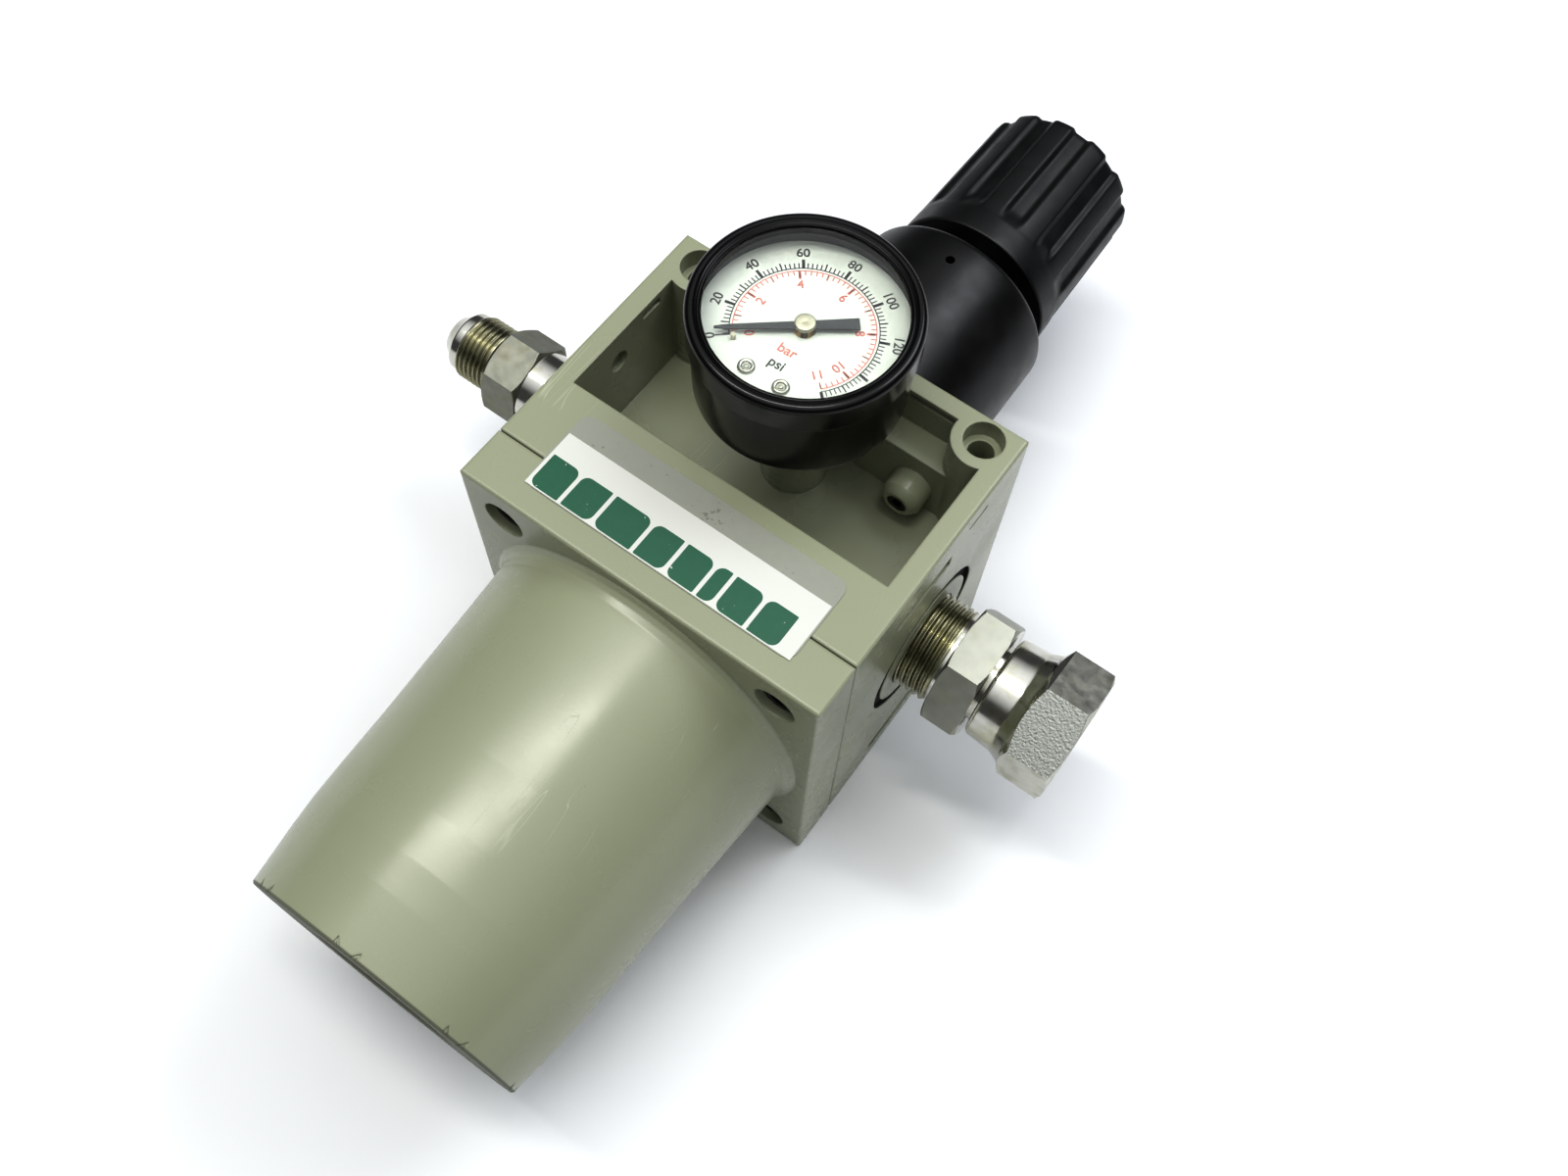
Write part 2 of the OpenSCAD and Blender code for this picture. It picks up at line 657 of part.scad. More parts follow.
module gauge_bezel() color(black) at_gauge(0) difference() {
    union() {
        translate([0, 0, bezel_z - 8]) cylinder(h = 6.2, r = bezel_r);
        translate([0, 0, bezel_z - 1.8]) cylinder(h = 1.2, r1 = bezel_r, r2 = bezel_r - 0.5);
        translate([0, 0, bezel_z - 0.6]) cylinder(h = 0.6, r1 = bezel_r - 0.5, r2 = bezel_r - 1.5);
    }
    translate([0, 0, bezel_z - 9]) cylinder(h = 7.8, r = case_r1 + slack);
    translate([0, 0, bezel_z - 2]) cylinder(h = 3, r1 = glass_r - 0.3, r2 = glass_r + 0.9);
}

module gauge_lens() color("lightcyan", 0.4) at_gauge(bezel_z - 2.75) cylinder(h = 1.5, r = case_r1 - 0.1);

module gauge_dial() color("white") at_gauge(dial_z - 0.5) difference() {
    cylinder(h = 0.5, r = dial_r);
    translate([0, 0, -1]) cylinder(h = 3, r = 2.5);
    for (p = dial_screw_places) translate([p[0], p[1], -1]) cylinder(h = 3, r = 1);
    translate([0, 0, -1]) translate(ring_point(stop_r, stop_angle)) cylinder(h = 3, r = 0.6);
}

dial_screw_places = [ring_point(16.2, -105.5), ring_point(16.2, -73)];

module dial_screws() color(steel) at_gauge(dial_z) for (p = dial_screw_places) translate([p[0], p[1], 0]) {
    difference() {
        cylinder(h = 0.9, r1 = 1.9, r2 = 1.3);
        translate([-2, -0.25, 0.45]) cube([4, 0.5, 1]);
    }
    translate([0, 0, -4]) cylinder(h = 4.2, r = 0.95);
}

module stop_pin() color(brass) at_gauge(dial_z - 1.5) translate(ring_point(stop_r, stop_angle))
    cylinder(h = 3.1, r = 0.55);

module gauge_pointer() color(black) at_gauge(dial_z + 1.2) rotate(pointer_zero) difference() {
    linear_extrude(0.5) union() {
        polygon([[-2, -1.1], [17, -0.55], [19.8, -0.2], [19.8, 0.2], [17, 0.55], [-2, 1.1]]);
        polygon([[-12, -1.45], [0, -1], [0, 1], [-12, 1.45]]);
        circle(2);
    }
    translate([0, 0, -1]) cylinder(h = 3, r = 1.2 + slack);
}

module pointer_hub() color(brass) at_gauge(dial_z + 0.8) difference() {
    union() {
        cylinder(h = 0.4, r = 1.6);
        cylinder(h = 1.5, r = 1.2);
        translate([0, 0, 0.9]) cylinder(h = 0.8, r = hub_r);
        translate([0, 0, 1.7]) cylinder(h = 0.3, r1 = hub_r, r2 = hub_r - 0.5);
    }
    translate([0, 0, -1]) cylinder(h = 2.75, r = spindle_r + slack);
}

module pointer_spindle() color(steel) {
    at_gauge(movement_z + slack) cylinder(h = dial_z + 2.5 - movement_z - slack, r = spindle_r);
    at_gauge(movement_z + 1.6) cylinder(h = 2.6, r = 1.5);
}

module sector_place(z) translate([-sector_offset, gauge_y - sector_offset, z]) children();

module gauge_sector() color(brass) {
    sector_place(movement_z + 1.7) linear_extrude(1.6) {
        intersection() {
            circle(sector_r);
            rotate(45) polygon([[0, 0], for (a = [-31, -13, 4]) ring_point(16, a)]);
        }
        rotate(tail_angle) translate([-1.5, -1.2]) square([tail_len + 2.5, 2.4]);
        circle(2);
    }
    sector_place(movement_z - 0.6) cylinder(h = plate_gap + 1.6, r = 1);
}

module movement_plate(z) at_gauge(z) difference() {
    translate([-13, -17, 0]) cube([20, 22, 0.8]);
    translate([0, 0, -1]) cylinder(h = 3, r = spindle_r + slack);
    translate([-sector_offset, -sector_offset, -1]) cylinder(h = 3, r = 1 + slack);
}

// Two plates that carry the spindle and the sector, with spacers for the dial
module movement_frame() color(brass) {
    movement_plate(movement_z);
    difference() {
        union() {
            movement_plate(movement_z + plate_gap);
            for (p = dial_screw_places) at_gauge(movement_z + plate_gap)
                translate([p[0], p[1], 0]) cylinder(h = dial_z - 0.5 - movement_z - plate_gap, r = 1.8);
        }
        for (p = dial_screw_places) at_gauge(movement_z + plate_gap - 1)
            translate([p[0], p[1], 0]) cylinder(h = 9, r = 0.95 + slack);
    }
}

module movement_pillars() color(steel) for (p = [[5, 3], [5, -11]])
    at_gauge(movement_z + 0.8) translate([p[0], p[1], 0]) cylinder(h = plate_gap - 0.8, r = 1.2);

// Flattened spring tube, closed at its tip, bent around the movement
module bourdon_tube() color(brass) at_gauge(tube_z + 3) rotate(-90) difference() {
    rotate_extrude(angle = tube_angle) translate([tube_mid_r, 0]) square([1.8, 6], center = true);
    rotate(-1) rotate_extrude(angle = tube_angle - 3) translate([tube_mid_r, 0]) square([0.9, 5], center = true);
}

// Link between the tip of the tube and the tail of the sector
module gauge_link() color(steel) {
    tip = ring_point(tube_mid_r, tube_angle - 92);
    tail = ring_point(tail_len, tail_angle) - [sector_offset, sector_offset];
    run = tail - tip;
    at_gauge(tube_z + 6) translate([tip[0], tip[1], 0]) {
        cylinder(h = 4.75, r = 0.6);
        translate([0, 0, 3.95]) rotate(atan2(run[1], run[0])) translate([-0.8, -0.6, 0])
            cube([norm(run) + 1.6, 1.2, 0.8]);
    }
}

// ---------- assembly ----------

body();
bowl();
bowl_screws();
bowl_o_ring();
label();
recess_plug();
deflector();
filter_seal();
filter_element();
baffle();
tie_rod();
baffle_nut();
drain_body();
drain_knob();
valve_plug();
seat_insert();
valve_poppet();
valve_face();
valve_stem();
valve_spring();
diaphragm();
relief_seat();
spring_plate();
plate_nut();
main_spring();
spring_nut();
adjusting_screw();
thrust_washer();
bonnet();
knob();
knob_clip();
knob_cap();
inlet_adapter();
outlet_adapter();
swivel_nut();
gauge_socket();
gauge_case();
gauge_bezel();
gauge_lens();
gauge_dial();
dial_screws();
stop_pin();
gauge_pointer();
pointer_hub();
pointer_spindle();
gauge_sector();
movement_frame();
movement_pillars();
bourdon_tube();
gauge_link();
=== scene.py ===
"""Looks of a compressed-air filter regulator: paint, plating, print and fine shapes.

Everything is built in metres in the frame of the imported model: X runs from the inlet to
the outlet, Y from the bowl to the knob, and Z out of the face of the gauge. Sizes are
written in millimetres and turned to metres where a mesh is made.
"""

from __future__ import annotations

import logging
import math
from dataclasses import dataclass, field
from enum import Enum
from typing import Any, Sequence

import bmesh
import bpy
import numpy as np
from mathutils import Matrix, Vector

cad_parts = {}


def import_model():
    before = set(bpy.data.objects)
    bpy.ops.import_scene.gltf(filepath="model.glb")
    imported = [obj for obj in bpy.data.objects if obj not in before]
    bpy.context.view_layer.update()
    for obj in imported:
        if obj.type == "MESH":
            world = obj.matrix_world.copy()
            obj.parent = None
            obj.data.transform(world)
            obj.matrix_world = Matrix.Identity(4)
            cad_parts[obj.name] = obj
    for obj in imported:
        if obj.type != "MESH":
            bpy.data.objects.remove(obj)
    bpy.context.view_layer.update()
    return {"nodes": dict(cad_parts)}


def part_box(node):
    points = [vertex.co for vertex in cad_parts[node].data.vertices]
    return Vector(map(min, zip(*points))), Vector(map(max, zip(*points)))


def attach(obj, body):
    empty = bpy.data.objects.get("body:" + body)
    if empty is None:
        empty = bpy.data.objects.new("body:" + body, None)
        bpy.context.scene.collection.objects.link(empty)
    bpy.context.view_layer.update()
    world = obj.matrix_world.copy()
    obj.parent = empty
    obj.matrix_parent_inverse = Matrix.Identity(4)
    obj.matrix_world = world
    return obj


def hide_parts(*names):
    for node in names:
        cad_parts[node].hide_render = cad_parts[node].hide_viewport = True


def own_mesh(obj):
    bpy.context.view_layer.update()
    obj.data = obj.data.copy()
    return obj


LOG = logging.getLogger("regulator")
MM = 0.001
# A wave texture of scale 1 has bands this far apart, in units.
WAVE_BANDS = 0.3142
# Blender's names of the nodes that are used most.
MATH, RANGE = "ShaderNodeMath", "ShaderNodeMapRange"
NOISE, MIX = "ShaderNodeTexNoise", "ShaderNodeMix"
Point = tuple[float, float]
Colour = tuple[float, float, float, float]
Tree = bpy.types.NodeTree
Socket = bpy.types.NodeSocket
Layers = tuple[Socket, Socket, Socket]


# ---------------------------------------------------------------- small tools


def linear(code: str) -> Colour:
    """Turns an sRGB hex value into linear colour.

    Args:
        code: Colour such as "#A0B0C0".

    Returns:
        Red, green, blue and alpha.
    """
    channels = [int(code[i : i + 2], 16) / 255 for i in (1, 3, 5)]
    bent = [c / 12.92 if c <= 0.04045 else ((c + 0.055) / 1.055) ** 2.4 for c in channels]
    return (bent[0], bent[1], bent[2], 1.0)


def shade(colour: Colour, factor: float) -> Colour:
    """Returns the colour made lighter or darker by a factor."""
    return (*[min(1.0, c * factor) for c in colour[:3]], 1.0)


def add_node(
    tree: Tree, kind: str, inputs: dict[Any, Any] | None = None, **settings: Any
) -> bpy.types.Node:
    """Adds one node with its settings, values and links.

    Args:
        tree: Tree that gets the node.
        kind: Blender's type name of the node.
        inputs: Socket name or index to a value, an output socket, or a node whose first output
            is linked.
        **settings: Properties of the node itself.

    Returns:
        The new node.
    """
    node = tree.nodes.new(kind)
    for name, value in settings.items():
        setattr(node, name, value)
    for key, value in (inputs or {}).items():
        if isinstance(value, bpy.types.Node):
            value = value.outputs[0]
        if isinstance(value, Socket):
            tree.links.new(value, node.inputs[key])
        else:
            node.inputs[key].default_value = value
    return node


# ---------------------------------------------------------------- finishes


@dataclass(frozen=True)
class Finish:
    """What a surface is made of and how it was made.

    Attributes:
        name: Common name of the finish.
        colour: sRGB hex value of the surface.
        roughness: Mean roughness.
        metallic: 1 for bare metal.
        ior: Index of refraction of what is not metal.
        grain_mm: Spacing of the fine relief.
        relief_mm: Height of the fine relief.
        mottle: Share by which the colour wanders.
        mottle_mm: Size of the patches of that wander.
        spread: How far the roughness wanders.
        edge_mm: Radius that light sees on sharp edges.
        coat: Weight of a clear glossy coat.
    """

    name: str
    colour: str
    roughness: float = 0.5
    metallic: float = 0.0
    ior: float = 1.5
    grain_mm: float = 0.6
    relief_mm: float = 0.01
    mottle: float = 0.05
    mottle_mm: float = 9.0
    spread: float = 0.06
    edge_mm: float = 0.0
    coat: float = 0.0

    def build(self) -> bpy.types.Material:
        """Makes the material once and finds it again on every later call.

        Returns:
            The material.
        """
        found = bpy.data.materials.get(self.name)
        if found:
            return found
        material = bpy.data.materials.new(self.name)
        material.use_nodes = True
        tree = material.node_tree
        tree.nodes.clear()
        place = add_node(tree, "ShaderNodeTexCoord").outputs["Object"]
        shader = add_node(
            tree,
            "ShaderNodeBsdfPrincipled",
            {"Metallic": self.metallic, "IOR": self.ior, "Coat Weight": self.coat},
        )
        if self.coat:
            shader.inputs["Coat Roughness"].default_value = 0.06
        patches = add_node(
            tree, NOISE, {"Vector": place, "Scale": 1 / (self.mottle_mm * MM), "Detail": 3.0}
        ).outputs[0]
        base = linear(self.colour)
        colour = add_node(
            tree,
            MIX,
            {0: patches, 6: shade(base, 1 - self.mottle), 7: shade(base, 1 + self.mottle)},
            data_type="RGBA",
        ).outputs[2]
        span = (max(0.02, self.roughness - self.spread), self.roughness + self.spread)
        rough = add_node(
            tree,
            RANGE,
            {
                0: add_node(
                    tree,
                    NOISE,
                    {"Vector": place, "Scale": 1 / (self.mottle_mm * 0.6 * MM), "Detail": 4.0},
                ),
                1: 0.3,
                2: 0.7,
                3: span[0],
                4: span[1],
            },
        ).outputs[0]
        height = add_node(
            tree, NOISE, {"Vector": place, "Scale": 1 / (self.grain_mm * MM), "Detail": 2.0}
        ).outputs[0]
        colour, rough, height = self.layers(tree, place, colour, rough, height)
        bump = {"Height": height, "Distance": self.relief_mm * MM, "Strength": 1.0}
        if self.edge_mm:
            rounded = add_node(
                tree, "ShaderNodeBevel", {"Radius": self.edge_mm * MM}, samples=6
            )
            bump["Normal"] = rounded.outputs[0]
        normal = add_node(tree, "ShaderNodeBump", bump).outputs[0]
        tree.links.new(colour, shader.inputs["Base Color"])
        tree.links.new(rough, shader.inputs["Roughness"])
        tree.links.new(normal, shader.inputs["Normal"])
        add_node(tree, "ShaderNodeOutputMaterial", {"Surface": shader.outputs[0]})
        return material

    def layers(
        self, tree: Tree, place: Socket, colour: Socket, rough: Socket, height: Socket
    ) -> Layers:
        """Adds what only one kind of finish has.

        Args:
            tree: Tree of the material.
            place: Object coordinates in metres.
            colour: Colour so far.
            rough: Roughness so far.
            height: Height of the relief so far, 0 to 1.

        Returns:
            Colour, roughness and height with the layers added.
        """
        return colour, rough, height


@dataclass(frozen=True)
class CastEnamel(Finish):
    """Sprayed enamel on a die casting: orange peel, faint dirt, a few nicks and painted shade on
    the bowl's end face.

    Attributes:
        speck_mm: Mean spacing of the dark specks.
        scratch_mm: Mean spacing of the hairline scratches.
        axis_mm: Height of the port axis above the back.
        groove_floor_mm: Where the floors of the port grooves lie, from the middle along X.
        groove_mm: Mean radius of the port grooves and half the width of the dirt in them.
        joint_mm: Where the bowl's flange meets the body along Y.
        rim_mm: Where the painted shade on the bowl's end face begins and is complete, along Y.
    """

    speck_mm: float = 16.0
    scratch_mm: float = 14.0
    axis_mm: float = 49.0
    groove_floor_mm: Point = (48.0, 49.7)
    groove_mm: Point = (20.1, 1.8)
    joint_mm: float = -36.0
    rim_mm: Point = (-144.0, -143.7)

    def layers(
        self, tree: Tree, place: Socket, colour: Socket, rough: Socket, height: Socket
    ) -> Layers:
        """Adds specks, dirt in the grooves, painted shade on the bowl's end face and hairline
        scratches.

        Args:
            tree: Tree of the material.
            place: Object coordinates in metres.
            colour: Colour so far.
            rough: Roughness so far.
            height: Height of the relief so far, 0 to 1.

        Returns:
            Colour, roughness and height with the layers added.
        """
        spots = add_node(
            tree,
            "ShaderNodeTexVoronoi",
            {"Vector": place, "Scale": 1 / (self.speck_mm * MM), "Randomness": 1.0},
        )
        near = add_node(
            tree, RANGE, {0: spots.outputs["Distance"], 1: 0.018, 2: 0.030, 3: 1.0, 4: 0.0}
        ).outputs[0]
        some = add_node(
            tree,
            RANGE,
            {
                0: add_node(
                    tree, NOISE, {"Vector": place, "Scale": 1 / (30.0 * MM), "Detail": 1.0}
                ),
                1: 0.52,
                2: 0.56,
            },
        ).outputs[0]
        speck = add_node(tree, MATH, {0: near, 1: some}, operation="MULTIPLY").outputs[0]
        colour = add_node(
            tree, MIX, {0: speck, 6: colour, 7: linear("#4B4C42")}, data_type="RGBA"
        ).outputs[2]
        # Dirt in the port grooves and the joint, and painted shade on the bowl's end face, all
        # mixed in one dark colour.
        dirt_and_shade = self.grime(tree, place)
        colour = add_node(
            tree, MIX, {0: dirt_and_shade, 6: colour, 7: linear("#20221E")}, data_type="RGBA"
        ).outputs[2]
        rough = add_node(
            tree,
            MATH,
            {0: rough, 1: add_node(tree, MATH, {0: dirt_and_shade, 1: 0.6}, operation="MULTIPLY")},
            operation="ADD",
        ).outputs[0]
        # Long thin scratches come from noise that is stretched along one way.
        turned = add_node(
            tree,
            "ShaderNodeMapping",
            {"Vector": place, "Rotation": (0.3, 0.4, 0.7), "Scale": (1.0, 0.05, 1.0)},
        ).outputs[0]
        lines = add_node(
            tree,
            NOISE,
            {"Vector": turned, "Scale": 1 / (self.scratch_mm * 0.25 * MM), "Detail": 1.0},
        ).outputs[0]
        line = add_node(
            tree,
            RANGE,
            {
                0: add_node(
                    tree,
                    MATH,
                    {0: add_node(tree, MATH, {0: lines, 1: 0.5}, operation="SUBTRACT")},
                    operation="ABSOLUTE",
                ),
                1: 0.0,
                2: 0.006,
                3: 1.0,
                4: 0.0,
            },
        ).outputs[0]
        rare = add_node(
            tree,
            RANGE,
            {
                0: add_node(
                    tree,
                    NOISE,
                    {"Vector": place, "Scale": 1 / (self.scratch_mm * 2.2 * MM), "Detail": 1.0},
                ),
                1: 0.60,
                2: 0.64,
            },
        ).outputs[0]
        scratch = add_node(tree, MATH, {0: line, 1: rare}, operation="MULTIPLY").outputs[0]
        colour = add_node(
            tree,
            MIX,
            {
                0: add_node(tree, MATH, {0: scratch, 1: 0.22}, operation="MULTIPLY"),
                6: colour,
                7: linear("#DDE0CF"),
            },
            data_type="RGBA",
        ).outputs[2]
        rough = add_node(
            tree,
            MATH,
            {0: rough, 1: add_node(tree, MATH, {0: scratch, 1: 0.2}, operation="MULTIPLY")},
            operation="ADD",
        ).outputs[0]
        height = add_node(
            tree,
            MATH,
            {0: height, 1: add_node(tree, MATH, {0: scratch, 1: 0.5}, operation="MULTIPLY")},
            operation="SUBTRACT",
        ).outputs[0]
        return colour, rough, height

    def grime(self, tree: Tree, place: Socket) -> Socket:
        """Returns where dirt sits in the port grooves and the joint, and where shade is painted on
        the bowl's end face.

        Args:
            tree: Tree of the material.
            place: Object coordinates in metres.

        Returns:
            1 in the dirt, at most 0.55 in the painted shade of the end face, and 0 elsewhere.
        """
        x, y, z = add_node(tree, "ShaderNodeSeparateXYZ", {0: place}).outputs
        floor, face = (place_mm * MM for place_mm in self.groove_floor_mm)
        middle, half = (size_mm * MM for size_mm in self.groove_mm)
        side = add_node(tree, MATH, {0: x}, operation="ABSOLUTE").outputs[0]
        deep = add_node(
            tree,
            MATH,
            {
                0: add_node(tree, MATH, {0: side, 1: floor}, operation="GREATER_THAN"),
                1: add_node(tree, MATH, {0: side, 1: face}, operation="LESS_THAN"),
            },
            operation="MULTIPLY",
        ).outputs[0]
        level = add_node(tree, MATH, {0: z, 1: self.axis_mm * MM}, operation="SUBTRACT").outputs[0]
        reach = add_node(
            tree,
            MATH,
            {
                0: add_node(
                    tree,
                    MATH,
                    {
                        0: add_node(tree, MATH, {0: y, 1: y}, operation="MULTIPLY"),
                        1: add_node(tree, MATH, {0: level, 1: level}, operation="MULTIPLY"),
                    },
                    operation="ADD",
                ),
            },
            operation="SQRT",
        ).outputs[0]
        ring = add_node(
            tree,
            MATH,
            {
                0: add_node(
                    tree,
                    MATH,
                    {0: add_node(tree, MATH, {0: reach, 1: middle}, operation="SUBTRACT")},
                    operation="ABSOLUTE",
                ),
                1: half,
            },
            operation="LESS_THAN",
        ).outputs[0]
        groove = add_node(tree, MATH, {0: deep, 1: ring}, operation="MULTIPLY").outputs[0]
        gap = add_node(
            tree,
            MATH,
            {0: add_node(tree, MATH, {0: y, 1: self.joint_mm * MM}, operation="SUBTRACT")},
            operation="ABSOLUTE",
        ).outputs[0]
        joint = add_node(tree, RANGE, {0: gap, 1: 0.00008, 2: 0.0003, 3: 0.8, 4: 0.0}).outputs[0]
        # Painted shade: the bowl's end face is darkened towards the dark colour, at most 0.55 of
        # the way.
        rim = {1: self.rim_mm[0] * MM, 2: self.rim_mm[1] * MM, 3: 0.55, 4: 0.0}
        edge = add_node(tree, RANGE, {0: y, **rim}).outputs[0]
        return add_node(
            tree,
            MATH,
            {0: add_node(tree, MATH, {0: groove, 1: joint}, operation="MAXIMUM"), 1: edge},
            operation="MAXIMUM",
        ).outputs[0]


class Lay(Enum):
    """The way that tool marks run on a turned or ground surface."""

    ROUND_X = "X"
    ROUND_Y = "Y"
    ROUND_Z = "Z"


@dataclass(frozen=True)
class TurnedMetal(Finish):
    """Metal from a lathe: fine rings square to the axis, and dull patches in the plating.

    Attributes:
        lay: Axis that the rings go round.
        ring_mm: Spacing of the rings.
        tint: sRGB hex value of the plating where it is thick or oily.
    """

    lay: Lay = Lay.ROUND_X
    ring_mm: float = 0.35
    tint: str = "#A9A585"

    def layers(
        self, tree: Tree, place: Socket, colour: Socket, rough: Socket, height: Socket
    ) -> Layers:
        """Adds the rings and the tinted patches.

        Args:
            tree: Tree of the material.
            place: Object coordinates in metres.
            colour: Colour so far.
            rough: Roughness so far.
            height: Height of the relief so far, 0 to 1.

        Returns:
            Colour, roughness and height with the layers added.
        """
        rings = add_node(
            tree,
            "ShaderNodeTexWave",
            {
                "Vector": place,
                "Scale": WAVE_BANDS / (self.ring_mm * MM),
                "Distortion": 0.6,
                "Detail": 2.0,
                "Detail Scale": 0.4,
            },
            wave_type="BANDS",
            bands_direction=self.lay.value,
        ).outputs["Fac"]
        height = add_node(
            tree,
            MATH,
            {
                0: add_node(tree, MATH, {0: height, 1: 0.6}, operation="MULTIPLY"),
                1: add_node(tree, MATH, {0: rings, 1: 0.4}, operation="MULTIPLY"),
            },
            operation="ADD",
        ).outputs[0]
        oily = add_node(
            tree,
            RANGE,
            {
                0: add_node(
                    tree, NOISE, {"Vector": place, "Scale": 1 / (5.0 * MM), "Detail": 3.0}
                ),
                1: 0.48,
                2: 0.66,
            },
        ).outputs[0]
        colour = add_node(
            tree,
            MIX,
            {
                0: add_node(tree, MATH, {0: oily, 1: 0.5}, operation="MULTIPLY"),
                6: colour,
                7: linear(self.tint),
            },
            data_type="RGBA",
        ).outputs[2]
        rough = add_node(
            tree,
            MATH,
            {0: rough, 1: add_node(tree, MATH, {0: oily, 1: 0.06}, operation="MULTIPLY")},
            operation="ADD",
        ).outputs[0]
        return colour, rough, height


@dataclass(frozen=True)
class WornPrint(Finish):
    """Ink on a film label, rubbed away in small flakes.

    Attributes:
        under: sRGB hex value of the film below the ink.
        wear: Share of the ink that is gone, 0 to 1.
    """

    under: str = "#8F908B"
    wear: float = 0.2

    def layers(
        self, tree: Tree, place: Socket, colour: Socket, rough: Socket, height: Socket
    ) -> Layers:
        """Adds flakes where the film shows.

        Args:
            tree: Tree of the material.
            place: Object coordinates in metres.
            colour: Colour so far.
            rough: Roughness so far.
            height: Height of the relief so far, 0 to 1.

        Returns:
            Colour, roughness and height with the layers added.
        """
        coarse = add_node(
            tree, NOISE, {"Vector": place, "Scale": 1 / (7.0 * MM), "Detail": 2.0}
        ).outputs[0]
        fine = add_node(
            tree, NOISE, {"Vector": place, "Scale": 1 / (1.1 * MM), "Detail": 6.0}
        ).outputs[0]
        both = add_node(
            tree,
            MATH,
            {
                0: add_node(tree, MATH, {0: coarse, 1: 0.45}, operation="MULTIPLY"),
                1: add_node(tree, MATH, {0: fine, 1: 0.55}, operation="MULTIPLY"),
            },
            operation="ADD",
        ).outputs[0]
        edge = 0.70 - 0.2 * self.wear
        flake = add_node(tree, RANGE, {0: both, 1: edge, 2: edge + 0.02}).outputs[0]
        colour = add_node(
            tree, MIX, {0: flake, 6: colour, 7: linear(self.under)}, data_type="RGBA"
        ).outputs[2]
        return colour, rough, height


@dataclass(frozen=True)
class ClearLens(Finish):
    """Clear acrylic pane. Lamps shine through it, so the dial behind it stays bright."""

    def build(self) -> bpy.types.Material:
        """Makes the glass with faint ripples, and lets the lamps' light pass.

        Returns:
            The material.
        """
        found = bpy.data.materials.get(self.name)
        if found:
            return found
        material = bpy.data.materials.new(self.name)
        material.use_nodes = True
        tree = material.node_tree
        tree.nodes.clear()
        place = add_node(tree, "ShaderNodeTexCoord").outputs["Object"]
        ripple = add_node(
            tree, NOISE, {"Vector": place, "Scale": 1 / (self.grain_mm * MM), "Detail": 1.0}
        ).outputs[0]
        bump = add_node(
            tree, "ShaderNodeBump", {"Height": ripple, "Distance": self.relief_mm * MM}
        )
        smear = add_node(
            tree,
            RANGE,
            {
                0: add_node(
                    tree, NOISE, {"Vector": place, "Scale": 1 / (6.0 * MM), "Detail": 3.0}
                ),
                1: 0.4,
                2: 0.8,
                3: 0.01,
                4: 0.06,
            },
        ).outputs[0]
        glass = add_node(
            tree,
            "ShaderNodeBsdfPrincipled",
            {
                "Base Color": linear(self.colour),
                "Roughness": smear,
                "IOR": self.ior,
                "Transmission Weight": 1.0,
                "Normal": bump.outputs[0],
            },
        )
        open_way = add_node(tree, "ShaderNodeBsdfTransparent", {0: linear(self.colour)})
        path = add_node(tree, "ShaderNodeLightPath")
        both = add_node(
            tree,
            "ShaderNodeMixShader",
            {0: path.outputs["Is Shadow Ray"], 1: glass.outputs[0], 2: open_way.outputs[0]},
        )
        add_node(tree, "ShaderNodeOutputMaterial", {"Surface": both.outputs[0]})
        return material


# Grey-green semi-gloss enamel on die-cast aluminium: broad soft highlights.
CAST_PAINT = CastEnamel(
    "grey_green_enamel", "#92967F", 0.27, grain_mm=1.4, relief_mm=0.006, mottle=0.03,
    mottle_mm=40.0, spread=0.05, edge_mm=0.7,
)
# Zinc-plated steel: cool satin grey with a yellow cast where the passivation is thick.
HEX_STEEL = TurnedMetal(
    "zinc_plated_hexagon", "#9C9D94", 0.42, 1.0, grain_mm=0.9, relief_mm=0.012, mottle=0.08,
    mottle_mm=4.0, spread=0.07, edge_mm=0.25, ring_mm=0.5, tint="#A5A494",
)
# The same plating on the longer adapter, made duller and darker.
INLET_STEEL = TurnedMetal(
    "zinc_plated_adapter", "#85867D", 0.48, 1.0, grain_mm=0.9, relief_mm=0.012, mottle=0.10,
    mottle_mm=4.0, spread=0.07, edge_mm=0.25, ring_mm=0.5, tint="#8F8D78",
)
# The same zinc plating on the swivel nut, made paler: pale and cool, with soft reflections.
NUT_STEEL = TurnedMetal(
    "zinc_plated_nut", "#C6C6BD", 0.38, 1.0, grain_mm=0.9, relief_mm=0.012, mottle=0.08,
    mottle_mm=4.0, spread=0.07, edge_mm=0.25, ring_mm=0.5, tint="#A5A494",
)
# Plating over a fine-turned surface: nearly a mirror, with long thin highlights.
COLLAR_STEEL = TurnedMetal(
    "zinc_plated_bright", "#CBCAC3", 0.15, 1.0, grain_mm=3.0, relief_mm=0.006, mottle=0.05,
    mottle_mm=6.0, spread=0.05, ring_mm=0.3,
)
# Oily plated thread: dark roots, brownish flanks and bright crests.
THREAD_STEEL = TurnedMetal(
    "zinc_plated_thread", "#96947F", 0.26, 1.0, grain_mm=0.8, relief_mm=0.004, mottle=0.10,
    mottle_mm=3.0, spread=0.08, ring_mm=0.25, tint="#9A9672",
)
# A sawn or sand-cast flat whose coarse crystals sparkle.
COARSE_STEEL = Finish(
    "coarse_grained_steel", "#D0D2CA", 0.30, 1.0, grain_mm=0.6, relief_mm=0.12, mottle=0.16,
    mottle_mm=0.6, spread=0.12,
)
